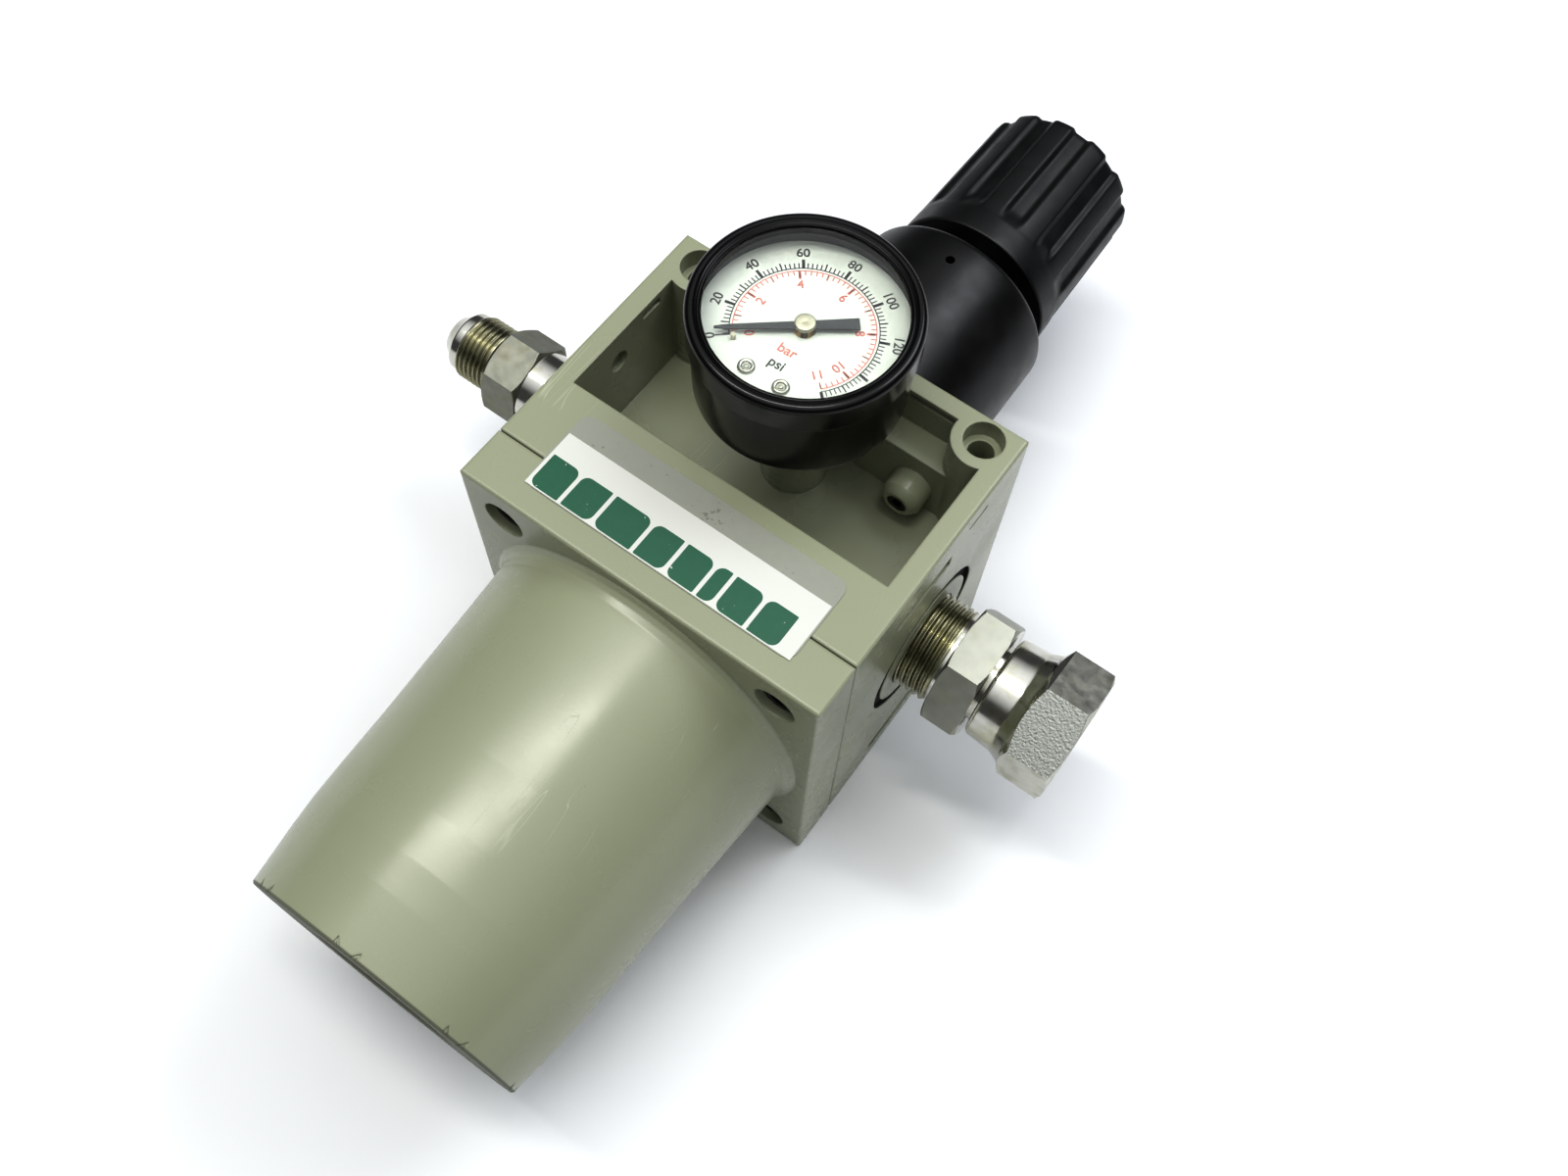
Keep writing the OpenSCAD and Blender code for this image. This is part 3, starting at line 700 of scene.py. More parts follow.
# Turned brass of the valve and the drain: warm, with fine rings.
BRASS = TurnedMetal(
    "machined_brass", "#C9A25B", 0.27, 1.0, mottle=0.05, relief_mm=0.006, lay=Lay.ROUND_Y,
    tint="#9A7B42",
)
# Brass of the gauge movement and its stem: slightly paler, with eased edges.
GAUGE_BRASS = TurnedMetal(
    "gauge_brass", "#C6A765", 0.3, 1.0, mottle=0.05, relief_mm=0.005, lay=Lay.ROUND_Z,
    tint="#9A8048", edge_mm=0.2,
)
# Cold-drawn wire: blue-grey, with a soft line of light along it.
SPRING_STEEL = TurnedMetal(
    "drawn_spring_steel", "#8A8C90", 0.28, 1.0, mottle=0.06, relief_mm=0.004, tint="#6E6C66",
)
# Bright small screws and plates: pale grey, clear highlights.
PLATED_STEEL = TurnedMetal(
    "zinc_plated_screw", "#A9A99F", 0.3, 1.0, mottle=0.07, lay=Lay.ROUND_Y, relief_mm=0.006,
    tint="#9F9E90",
)
# Black oxide on a socket screw: almost black, with worn grey patches.
DARK_SCREW = Finish(
    "black_oxide_screw", "#232323", 0.4, 1.0, mottle=0.15, mottle_mm=2.0, spread=0.1,
    edge_mm=0.2,
)
# Glass-filled nylon, moulded in a sparked tool: satin, fine even grain.
BONNET_BLACK = Finish(
    "black_moulded_nylon", "#050606", 0.34, grain_mm=0.5, relief_mm=0.012, mottle=0.15,
    mottle_mm=14.0, spread=0.06, ior=1.42,
)
# Moulded acetal of the knob: a little greyer and duller than the bonnet.
KNOB_BLACK = Finish(
    "black_moulded_acetal", "#070909", 0.40, grain_mm=0.45, relief_mm=0.014, mottle=0.15,
    mottle_mm=10.0, spread=0.07, ior=1.42,
)
# Stove enamel on pressed steel: deep gloss, slightly rippled.
GAUGE_BLACK = Finish(
    "black_gloss_enamel", "#040505", 0.20, grain_mm=5.0, relief_mm=0.02, mottle=0.1,
    mottle_mm=12.0, spread=0.05, ior=1.42,
)
# Moulded rubber: dull dark grey without highlights.
RUBBER = Finish(
    "nitrile_rubber", "#161616", 0.6, grain_mm=0.4, relief_mm=0.012, mottle=0.1, ior=1.52,
)
# Natural acetal: creamy white and softly lit through its edges.
WHITE_MOULDING = Finish(
    "white_acetal", "#DCDACE", 0.42, grain_mm=0.7, relief_mm=0.008, mottle=0.02, edge_mm=0.3,
)
# Sintered polyethylene beads: matt, with open pores.
SINTERED = Finish(
    "sintered_filter", "#D8CFB4", 0.8, grain_mm=0.5, relief_mm=0.18, mottle=0.08,
    mottle_mm=1.5,
)
# Baked white enamel of the dial: even and nearly matt under its lens.
DIAL_WHITE = Finish(
    "dial_enamel", "#AEB1AA", 0.45, grain_mm=2.0, relief_mm=0.003, mottle=0.012,
    mottle_mm=10.0,
)
# Screen-printed inks: flat, with slightly uneven cover.
PRINT_BLACK = Finish("dial_print_black", "#202121", 0.55, mottle=0.12, mottle_mm=1.2)
PRINT_RED = Finish("dial_print_red", "#AE6058", 0.55, mottle=0.08, mottle_mm=1.2)
# Thin black enamel on a stamped pointer: satin, greyer than the case.
POINTER_BLACK = Finish("pointer_enamel", "#242627", 0.38, mottle=0.1, mottle_mm=3.0)
# Pale nickelled hub and pin: greyish with a faint warm tone.
CAP_METAL = TurnedMetal(
    "pale_hub_metal", "#A9A798", 0.42, 1.0, mottle=0.05, mottle_mm=1.0, lay=Lay.ROUND_Z,
    ring_mm=0.2, tint="#ABA58F",
)
# Metallised film gone dull: grey, with scuffed patches.
LABEL_FILM = WornPrint(
    "metallised_label", "#92948A", 0.36, grain_mm=0.7, relief_mm=0.01, mottle=0.05,
    mottle_mm=4.0, under="#77786F", wear=0.35,
)
# White ink on the film: clean, with a few rubbed spots.
LABEL_WHITE = WornPrint(
    "white_label_print", "#CCCDC7", 0.45, grain_mm=0.8, relief_mm=0.006, mottle=0.02,
    under="#A9AAA4", wear=0.05,
)
# Deep green ink with small flakes missing, which show the film.
LABEL_GREEN = WornPrint(
    "green_label_print", "#135A40", 0.4, grain_mm=0.8, relief_mm=0.008, mottle=0.10,
    mottle_mm=2.0, under="#B9BBB3", wear=0.35,
)
# Clear acrylic: a faint ripple and a light smear in its reflections.
LENS = ClearLens("acrylic_lens", "#FBFDFC", ior=1.49, grain_mm=14.0, relief_mm=0.004)


# ---------------------------------------------------------------- meshes


class Axis(Enum):
    """Axis that a turned part lies along, with the turn that takes local Z to it."""

    PORTS = ("Y", 90.0)
    MAIN = ("X", -90.0)
    GAUGE = ("Z", 0.0)

    def matrix(self, centre: Vector) -> Matrix:
        """Returns the placing of a part whose local origin comes to centre, in metres."""
        letter, angle = self.value
        return Matrix.Translation(centre) @ Matrix.Rotation(math.radians(angle), 4, letter)


@dataclass(frozen=True)
class Hexagon:
    """Six flats milled on a turned part, between two places along it."""

    start: float
    end: float
    across_flats: float


@dataclass(frozen=True)
class Thread:
    """A screw thread cut in a turned part; a negative depth makes an inside thread."""

    start: float
    end: float
    radius: float
    pitch: float
    depth: float


@dataclass(frozen=True)
class Zone:
    """Stretch of a turned part that has a finish of its own."""

    start: float
    end: float
    least_radius: float
    finish: Finish


def arc(
    along: float, radius: float, size: float, first: float, last: float, steps: int = 6
) -> list[Point]:
    """Returns points of a rounded corner of a turned outline.

    Args:
        along: Centre of the rounding along the part.
        radius: Centre of the rounding from the axis.
        size: Radius of the rounding.
        first: Angle of the first point in degrees, 0 along the part and 90 outwards.
        last: Angle of the last point.
        steps: Number of steps.

    Returns:
        Points (along, radius).
    """
    angles = [math.radians(first + (last - first) * i / steps) for i in range(steps + 1)]
    return [(along + size * math.cos(a), radius + size * math.sin(a)) for a in angles]


def rows(start: Point, end: Point, step: float) -> list[Point]:
    """Returns points on a straight stretch of an outline.

    Args:
        start: First point.
        end: Last point.
        step: Longest distance between two points.

    Returns:
        Points (along, radius), with both ends.
    """
    count = max(1, math.ceil(math.dist(start, end) / step))
    return [
        (start[0] + (end[0] - start[0]) * i / count, start[1] + (end[1] - start[1]) * i / count)
        for i in range(count + 1)
    ]


def finished(mesh: bpy.types.Mesh, sharp_deg: float = 32.0) -> bpy.types.Mesh:
    """Merges doubles, turns the faces outwards and shades smooth up to an angle.

    Args:
        mesh: Mesh to finish, changed in place.
        sharp_deg: Angle between faces above which an edge is sharp. Threads stay smooth.

    Returns:
        The same mesh.
    """
    work = bmesh.new()
    work.from_mesh(mesh)
    bmesh.ops.remove_doubles(work, verts=work.verts, dist=1e-7)
    bmesh.ops.recalc_face_normals(work, faces=work.faces)
    soft = mesh.materials.find(THREAD_STEEL.name)
    limit = math.radians(sharp_deg)
    for face in work.faces:
        face.smooth = True
    for edge in work.edges:
        threaded = all(face.material_index == soft for face in edge.link_faces)
        edge.smooth = threaded or edge.calc_face_angle(0.0) < limit
    work.to_mesh(mesh)
    work.free()
    return mesh


def place_piece(
    name: str, mesh: bpy.types.Mesh, body: str, replaces: Sequence[str] = ()
) -> bpy.types.Object:
    """Makes the object of a finished mesh and ties it to its body.

    Args:
        name: Name of the piece.
        mesh: Mesh in the row frame, in metres.
        body: Body that it moves with.
        replaces: Nodes that it stands for.

    Returns:
        The object.
    """
    piece = bpy.data.objects.new(name, mesh)
    mesh.name = name
    bpy.context.scene.collection.objects.link(piece)
    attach(piece, body)
    if replaces:
        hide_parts(*replaces)
    LOG.info("%s: %d faces on %s", name, len(mesh.polygons), body)
    return piece


@dataclass
class TurnedPart:
    """A part spun round its own axis, with flats and threads cut in it.

    Attributes:
        name: Name of the piece.
        outline: Closed section as points (along, radius).
        finish: Finish of the whole part.
        first_deg: Angle of the first column, where a hexagon has a corner.
        columns: Number of columns of points round the axis.
        hexagons: Flats on it.
        threads: Threads on it, all of its finish for threads.
        zones: Stretches with their own finish.
    """

    name: str
    outline: list[Point]
    finish: Finish
    first_deg: float = 0.0
    columns: int = 144
    hexagons: Sequence[Hexagon] = ()
    threads: Sequence[Thread] = ()
    zones: Sequence[Zone] = ()

    def mesh(self, axis: Axis, centre: Vector) -> bpy.types.Mesh:
        """Spins the outline, cuts flats and threads, and puts the mesh in its place.

        Args:
            axis: Axis that the part lies along.
            centre: Point of that axis that is 0 along the part, in metres.

        Returns:
            The mesh in the row frame.
        """
        along = np.array([p[0] for p in self.outline])
        radius = np.array([p[1] for p in self.outline])
        angle = math.radians(self.first_deg) + np.arange(self.columns) * math.tau / self.columns
        reach = np.repeat(radius[:, None], self.columns, axis=1)
        for flats in self.hexagons:
            inside = (along >= flats.start - 1e-6) & (along <= flats.end + 1e-6)
            from_flat = np.mod(angle - angle[0], math.pi / 3) - math.pi / 6
            reach[inside] = np.minimum(reach[inside], flats.across_flats / 2 / np.cos(from_flat))
        depth = np.repeat(along[:, None], self.columns, axis=1)
        points = np.stack([reach * np.cos(angle), reach * np.sin(angle), depth], axis=2)
        count = len(along)
        open_ended = radius[0] == 0 and radius[-1] == 0
        faces, marks = [], []
        for i in range(count - 1 if open_ended else count):
            j = (i + 1) % count
            mid = ((along[i] + along[j]) / 2, (radius[i] + radius[j]) / 2)
            mark = self.zone_of(mid)
            for k in range(self.columns):
                n = (k + 1) % self.columns
                cell = [i * self.columns + k, i * self.columns + n]
                faces.append([*cell, j * self.columns + n, j * self.columns + k])
                marks.append(mark)
        mesh = bpy.data.meshes.new(self.name)
        mesh.from_pydata((points.reshape(-1, 3) * MM).tolist(), [], faces)
        for finish in [self.finish, *[z.finish for z in self.zones]]:
            mesh.materials.append(finish.build())
        mesh.polygons.foreach_set("material_index", marks)
        for thread in self.threads:
            mesh = ThreadCutter.cut(mesh, thread)
        finished(mesh)
        mesh.transform(axis.matrix(centre))
        return mesh

    def zone_of(self, mid: Point) -> int:
        """Returns the material index of a band.

        Args:
            mid: Middle of the band as (along, radius).

        Returns:
            0 for the part's own finish, or the number of a zone from 1.
        """
        for index, zone in enumerate(self.zones):
            if zone.start <= mid[0] <= zone.end and mid[1] >= zone.least_radius:
                return index + 1
        return 0


def plate(outline: Sequence[Point], low: float, high: float) -> bpy.types.Mesh:
    """Makes a closed flat plate from an outline in the XY plane.

    Args:
        outline: Points of the outline in millimetres, counter-clockwise.
        low: Height of its back in millimetres.
        high: Height of its front in millimetres.

    Returns:
        The mesh in metres.
    """
    count = len(outline)
    points = [(x * MM, y * MM, z * MM) for z in (low, high) for x, y in outline]
    faces = [list(range(count))[::-1], list(range(count, 2 * count))]
    faces += [[i, (i + 1) % count, (i + 1) % count + count, i + count] for i in range(count)]
    mesh = bpy.data.meshes.new("plate")
    mesh.from_pydata(points, [], faces)
    return mesh


def rounded_box(low: Point, high: Point, radii: Sequence[float], steps: int = 5) -> list[Point]:
    """Returns the outline of a rectangle with its own radius at each corner.

    Args:
        low: Lower left corner.
        high: Upper right corner.
        radii: Radius at the lower left, lower right, upper right and upper left.
        steps: Steps in each rounding.

    Returns:
        Points of the outline, in order.
    """
    corners = [
        (low[0], low[1], 180, 1, 1),
        (high[0], low[1], 270, -1, 1),
        (high[0], high[1], 0, -1, -1),
        (low[0], high[1], 90, 1, -1),
    ]
    points = []
    for (x, y, start, sx, sy), radius in zip(corners, radii):
        for i in range(steps + 1 if radius else 1):
            a = math.radians(start + 90 * i / steps)
            points.append((x + radius * (sx + math.cos(a)), y + radius * (sy + math.sin(a))))
    return points


def joined(meshes: Sequence[bpy.types.Mesh], finish: Finish) -> bpy.types.Mesh:
    """Puts several meshes in one, all with the same finish.

    Args:
        meshes: Meshes to put together.
        finish: Finish of all of them.

    Returns:
        The new mesh.
    """
    work = bmesh.new()
    for mesh in meshes:
        work.from_mesh(mesh)
    result = bpy.data.meshes.new("joined")
    work.to_mesh(result)
    work.free()
    result.materials.clear()
    result.materials.append(finish.build())
    result.polygons.foreach_set("material_index", [0] * len(result.polygons))
    return result


# ---------------------------------------------------------------- node recipes


class Recipe:
    """A Geometry Nodes tree with named inputs, run once into a plain mesh."""

    KINDS = {
        "float": "NodeSocketFloat",
        "int": "NodeSocketInt",
        "finish": "NodeSocketMaterial",
        "piece": "NodeSocketObject",
    }

    def __init__(self, name: str, inputs: dict[str, str]) -> None:
        """Makes an empty tree.

        Args:
            name: Name of the tree.
            inputs: Name of each input to its kind, a key of KINDS.
        """
        self.tree = bpy.data.node_groups.new(name, "GeometryNodeTree")
        face = self.tree.interface
        face.new_socket("Geometry", in_out="INPUT", socket_type="NodeSocketGeometry")
        for title, kind in inputs.items():
            face.new_socket(title, in_out="INPUT", socket_type=self.KINDS[kind])
        face.new_socket("Geometry", in_out="OUTPUT", socket_type="NodeSocketGeometry")
        self.given = add_node(self.tree, "NodeGroupInput").outputs

    def end(self, geometry: Socket, selection: Any = True) -> None:
        """Ends the tree in Realize Instances and Set Material.

        Args:
            geometry: Geometry to give out.
            selection: Faces that get the finish.
        """
        real = add_node(self.tree, "GeometryNodeRealizeInstances", {0: geometry})
        dressed = add_node(
            self.tree,
            "GeometryNodeSetMaterial",
            {0: real.outputs[0], "Selection": selection, "Material": self.given["Finish"]},
        )
        add_node(self.tree, "NodeGroupOutput", {0: dressed.outputs[0]})

    def run(self, base: bpy.types.Mesh | None = None, **values: Any) -> bpy.types.Mesh:
        """Runs the tree on a mesh and returns the result as a plain mesh.

        Args:
            base: Mesh that the tree starts from, if it needs one.
            **values: Value of each input, with _ for a space in its name.

        Returns:
            The new mesh.
        """
        start = base or bpy.data.meshes.new("empty")
        holder = bpy.data.objects.new("recipe_holder", start)
        bpy.context.scene.collection.objects.link(holder)
        modifier = holder.modifiers.new("recipe", "NODES")
        modifier.node_group = self.tree
        for item in self.tree.interface.items_tree:
            key = item.name.lower().replace(" ", "_")
            if item.in_out == "INPUT" and key in values:
                modifier[item.identifier] = values[key]
        graph = bpy.context.evaluated_depsgraph_get()
        mesh = bpy.data.meshes.new_from_object(holder.evaluated_get(graph), depsgraph=graph)
        bpy.data.objects.remove(holder)
        return mesh


class Polar:
    """Position of a point of a turned part inside a recipe, as sockets."""

    def __init__(self, tree: Tree) -> None:
        """Adds the nodes that turn a position into along, radius, angle and outward.

        Args:
            tree: Tree of the recipe.
        """
        position = add_node(tree, "GeometryNodeInputPosition").outputs[0]
        parts = add_node(tree, "ShaderNodeSeparateXYZ", {0: position}).outputs
        flat = add_node(tree, "ShaderNodeCombineXYZ", {0: parts[0], 1: parts[1]}).outputs[0]
        self.along = parts[2]
        self.radius = add_node(
            tree, "ShaderNodeVectorMath", {0: flat}, operation="LENGTH"
        ).outputs["Value"]
        self.angle = add_node(
            tree, MATH, {0: parts[1], 1: parts[0]}, operation="ARCTAN2"
        ).outputs[0]
        self.outward = add_node(
            tree, "ShaderNodeVectorMath", {0: flat}, operation="NORMALIZE"
        ).outputs[0]


class ThreadCutter:
    """Cuts helical threads in turned parts."""

    recipe: Recipe | None = None

    @classmethod
    def build(cls) -> Recipe:
        """Makes the tree that moves points of the wall in along a helix.

        Returns:
            The recipe.
        """
        recipe = Recipe(
            "cut_thread",
            {"Start": "float", "End": "float", "Radius": "float", "Pitch": "float",
             "Depth": "float", "Finish": "finish"},
        )
        tree, given = recipe.tree, recipe.given
        polar = Polar(tree)
        turns = add_node(tree, MATH, {0: polar.angle, 1: math.tau}, operation="DIVIDE").outputs[0]
        lead = add_node(
            tree,
            MATH,
            {
                0: add_node(tree, MATH, {0: polar.along, 1: given["Pitch"]}, operation="DIVIDE"),
                1: turns,
            },
            operation="SUBTRACT",
        ).outputs[0]
        wave = add_node(
            tree,
            MATH,
            {0: add_node(tree, MATH, {0: lead, 1: 0.5}, operation="PINGPONG"), 1: 2.0},
            operation="MULTIPLY",
        ).outputs[0]
        cut = add_node(
            tree, RANGE, {0: wave, 1: 0.06, 2: 0.94}, interpolation_type="SMOOTHSTEP"
        ).outputs[0]
        after = add_node(
            tree, MATH, {0: polar.along, 1: given["Start"]}, operation="SUBTRACT"
        ).outputs[0]
        before = add_node(
            tree, MATH, {0: given["End"], 1: polar.along}, operation="SUBTRACT"
        ).outputs[0]
        for span in (after, before):
            share = add_node(
                tree, MATH, {0: span, 1: given["Pitch"]}, operation="DIVIDE"
            ).outputs[0]
            cut = add_node(
                tree,
                MATH,
                {0: cut, 1: add_node(tree, RANGE, {0: share, 1: 0.0, 2: 0.8})},
                operation="MULTIPLY",
            ).outputs[0]
        gap = add_node(
            tree,
            MATH,
            {0: add_node(tree, MATH, {0: polar.radius, 1: given["Radius"]}, operation="SUBTRACT")},
            operation="ABSOLUTE",
        ).outputs[0]
        wall = add_node(tree, MATH, {0: gap, 1: 0.0009}, operation="LESS_THAN").outputs[0]
        depth = add_node(
            tree,
            MATH,
            {0: add_node(tree, MATH, {0: cut, 1: wall}, operation="MULTIPLY"), 1: given["Depth"]},
            operation="MULTIPLY",
        ).outputs[0]
        inward = add_node(tree, MATH, {0: depth, 1: -1.0}, operation="MULTIPLY").outputs[0]
        shift = add_node(
            tree, "ShaderNodeVectorMath", {0: polar.outward, "Scale": inward}, operation="SCALE"
        )
        moved = add_node(
            tree, "GeometryNodeSetPosition", {0: given["Geometry"], "Offset": shift.outputs[0]}
        )
        inside = add_node(
            tree,
            MATH,
            {
                0: add_node(tree, MATH, {0: after, 1: 0.0}, operation="GREATER_THAN"),
                1: add_node(tree, MATH, {0: before, 1: 0.0}, operation="GREATER_THAN"),
            },
            operation="MULTIPLY",
        ).outputs[0]
        wide = add_node(tree, MATH, {0: gap, 1: 0.0022}, operation="LESS_THAN").outputs[0]
        picked = add_node(tree, MATH, {0: inside, 1: wide}, operation="MULTIPLY").outputs[0]
        recipe.end(moved.outputs[0], picked)
        return recipe

    @classmethod
    def cut(cls, mesh: bpy.types.Mesh, thread: Thread) -> bpy.types.Mesh:
        """Cuts one thread in a mesh that still lies along Z.

        Args:
            mesh: Mesh of the turned part.
            thread: Thread to cut.

        Returns:
            The new mesh, with the thread in the finish for threads.
        """
        cls.recipe = cls.recipe or cls.build()
        return cls.recipe.run(
            mesh,
            start=thread.start * MM,
            end=thread.end * MM,
            radius=thread.radius * MM,
            pitch=thread.pitch * MM,
            depth=thread.depth * MM,
            finish=THREAD_STEEL.build(),
        )


def flute_recipe() -> Recipe:
    """Makes the tree that presses rounded valleys into the wall of a knob.

    Returns:
        The recipe.
    """
    recipe = Recipe(
        "knob_flutes",
        {"Count": "float", "First": "float", "Depth": "float", "Begin": "float",
         "Full": "float", "Least Radius": "float", "Finish": "finish"},
    )
    tree, given = recipe.tree, recipe.given
    polar = Polar(tree)
    turned = add_node(
        tree, MATH, {0: polar.angle, 1: given["First"]}, operation="SUBTRACT"
    ).outputs[0]
    steps = add_node(
        tree,
        MATH,
        {0: add_node(tree, MATH, {0: turned, 1: math.tau}, operation="DIVIDE"), 1: given["Count"]},
        operation="MULTIPLY",
    ).outputs[0]
    off = add_node(
        tree,
        MATH,
        {0: add_node(tree, MATH, {0: steps, 1: 0.5}, operation="PINGPONG"), 1: 2.0},
        operation="MULTIPLY",
    ).outputs[0]
    valley = add_node(
        tree, RANGE, {0: off, 1: 0.30, 2: 0.58, 3: 1.0, 4: 0.0}, interpolation_type="SMOOTHSTEP"
    ).outputs[0]
    fade = add_node(
        tree,
        RANGE,
        {0: polar.along, 1: given["Begin"], 2: given["Full"]},
        interpolation_type="SMOOTHSTEP",
    ).outputs[0]
    wall = add_node(
        tree, MATH, {0: polar.radius, 1: given["Least Radius"]}, operation="GREATER_THAN"
    ).outputs[0]
    depth = add_node(
        tree,
        MATH,
        {0: add_node(tree, MATH, {0: valley, 1: fade}, operation="MULTIPLY"), 1: wall},
        operation="MULTIPLY",
    ).outputs[0]
    inward = add_node(
        tree,
        MATH,
        {0: add_node(tree, MATH, {0: depth, 1: given["Depth"]}, operation="MULTIPLY"), 1: -1.0},
        operation="MULTIPLY",
    ).outputs[0]
    shift = add_node(
        tree, "ShaderNodeVectorMath", {0: polar.outward, "Scale": inward}, operation="SCALE"
    )
    moved = add_node(
        tree, "GeometryNodeSetPosition", {0: given["Geometry"], "Offset": shift.outputs[0]}
    )
    recipe.end(moved.outputs[0])
    return recipe


def tick_recipe() -> Recipe:
    """Makes the tree that lays a fan of printed marks round a dial.

    Returns:
        The recipe.
    """
    recipe = Recipe(
        "dial_marks",
        {"Count": "int", "First": "float", "Step": "float", "Inner": "float",
         "Outer": "float", "Width": "float", "Low": "float", "Finish": "finish"},
    )
    tree, given = recipe.tree, recipe.given
    length = add_node(
        tree, MATH, {0: given["Outer"], 1: given["Inner"]}, operation="SUBTRACT"
    ).outputs[0]
    middle = add_node(
        tree,
        MATH,
        {0: add_node(tree, MATH, {0: given["Outer"], 1: given["Inner"]}, operation="ADD"), 1: 0.5},
        operation="MULTIPLY",
    ).outputs[0]
    size = add_node(tree, "ShaderNodeCombineXYZ", {0: length, 1: given["Width"], 2: 0.00003})
    mark = add_node(tree, "GeometryNodeMeshCube", {"Size": size.outputs[0]})
    place = add_node(tree, "ShaderNodeCombineXYZ", {0: middle, 2: given["Low"]})
    moved = add_node(
        tree,
        "GeometryNodeTransform",
        {"Geometry": mark.outputs[0], "Translation": place.outputs[0]},
    )
    points = add_node(tree, "GeometryNodePoints", {"Count": given["Count"]})
    index = add_node(tree, "GeometryNodeInputIndex").outputs[0]
    angle = add_node(
        tree, MATH, {0: index, 1: given["Step"], 2: given["First"]}, operation="MULTIPLY_ADD"
    ).outputs[0]
    turn = add_node(
        tree, "FunctionNodeAxisAngleToRotation", {"Axis": (0.0, 0.0, 1.0), "Angle": angle}
    )
    fan = add_node(
        tree,
        "GeometryNodeInstanceOnPoints",
        {"Points": points.outputs[0], "Instance": moved.outputs[0], "Rotation": turn.outputs[0]},
    )
    recipe.end(fan.outputs[0])
    return recipe


def coil_recipe() -> Recipe:
    """Makes the tree that sweeps round wire along a coil.

    Returns:
        The recipe.
    """
    recipe = Recipe(
        "wire_coil",
        {"Radius": "float", "Wire": "float", "Height": "float", "Turns": "float",
         "Finish": "finish"},
    )
    tree, given = recipe.tree, recipe.given
    path = add_node(
        tree,
        "GeometryNodeCurveSpiral",
        {"Resolution": 40, "Rotations": given["Turns"], "Start Radius": given["Radius"],
         "End Radius": given["Radius"], "Height": given["Height"]},
    )
    ring = add_node(
        tree, "GeometryNodeCurvePrimitiveCircle", {"Resolution": 14, "Radius": given["Wire"]}
    )
    wire = add_node(
        tree,
        "GeometryNodeCurveToMesh",
        {"Curve": path.outputs[0], "Profile Curve": ring.outputs[0], "Fill Caps": True},
    )
    recipe.end(wire.outputs[0])
    return recipe


def corner_recipe() -> Recipe:
    """Makes the tree that puts one piece at four corners of a rectangle.

    Returns:
        The recipe.
    """
    recipe = Recipe(
        "four_corners",
        {"Width": "float", "Height": "float", "Piece": "piece", "Finish": "finish"},
    )
    tree, given = recipe.tree, recipe.given
    grid = add_node(
        tree,
        "GeometryNodeMeshGrid",
        {"Size X": given["Width"], "Size Y": given["Height"], "Vertices X": 2, "Vertices Y": 2},
    )
    piece = add_node(tree, "GeometryNodeObjectInfo", {"Object": given["Piece"]})
    copies = add_node(
        tree,
        "GeometryNodeInstanceOnPoints",
        {"Points": grid.outputs[0], "Instance": piece.outputs["Geometry"]},
    )
    recipe.end(copies.outputs[0])
    return recipe


# ---------------------------------------------------------------- sub-assemblies


@dataclass
class Layout:
    """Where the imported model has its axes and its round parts.

    Attributes:
        axis_z: Height of the main axis above the back, in metres.
        gauge: Axis of the gauge at the back, in metres.
        label_top: Height of the label's film, in metres.
        dial: Height of the printed face, in millimetres.
        bezel: Top and radius of the bezel, in millimetres.
        case: Bottom and radius of the gauge case, in millimetres.
    """

    axis_z: float = 0.0
    gauge: Vector = field(default_factory=Vector)
    label_top: float = 0.0
    dial: float = 0.0
    bezel: Point = (0.0, 0.0)
    case: Point = (0.0, 0.0)

    @classmethod
    def read(cls) -> Layout:
        """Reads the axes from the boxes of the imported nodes.

        Returns:
            The layout.
        """
        bonnet_low, bonnet_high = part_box("bonnet")
        bezel_low, bezel_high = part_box("gauge_bezel")
        gauge = (bezel_low + bezel_high) / 2
        gauge.z = 0.0
        case_low, case_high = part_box("gauge_case")
        return cls(
            (bonnet_low.z + bonnet_high.z) / 2,
            gauge,
            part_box("label")[1].z,
            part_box("gauge_dial")[1].z / MM,
            (bezel_high.z / MM, (bezel_high.x - bezel_low.x) / 2 / MM),
            (case_low.z / MM, (case_high.x - case_low.x) / 2 / MM),
        )

    @property
    def main(self) -> Vector:
        """Point of the main axis and of the port axis where both cross."""
        return Vector((0.0, 0.0, self.axis_z))


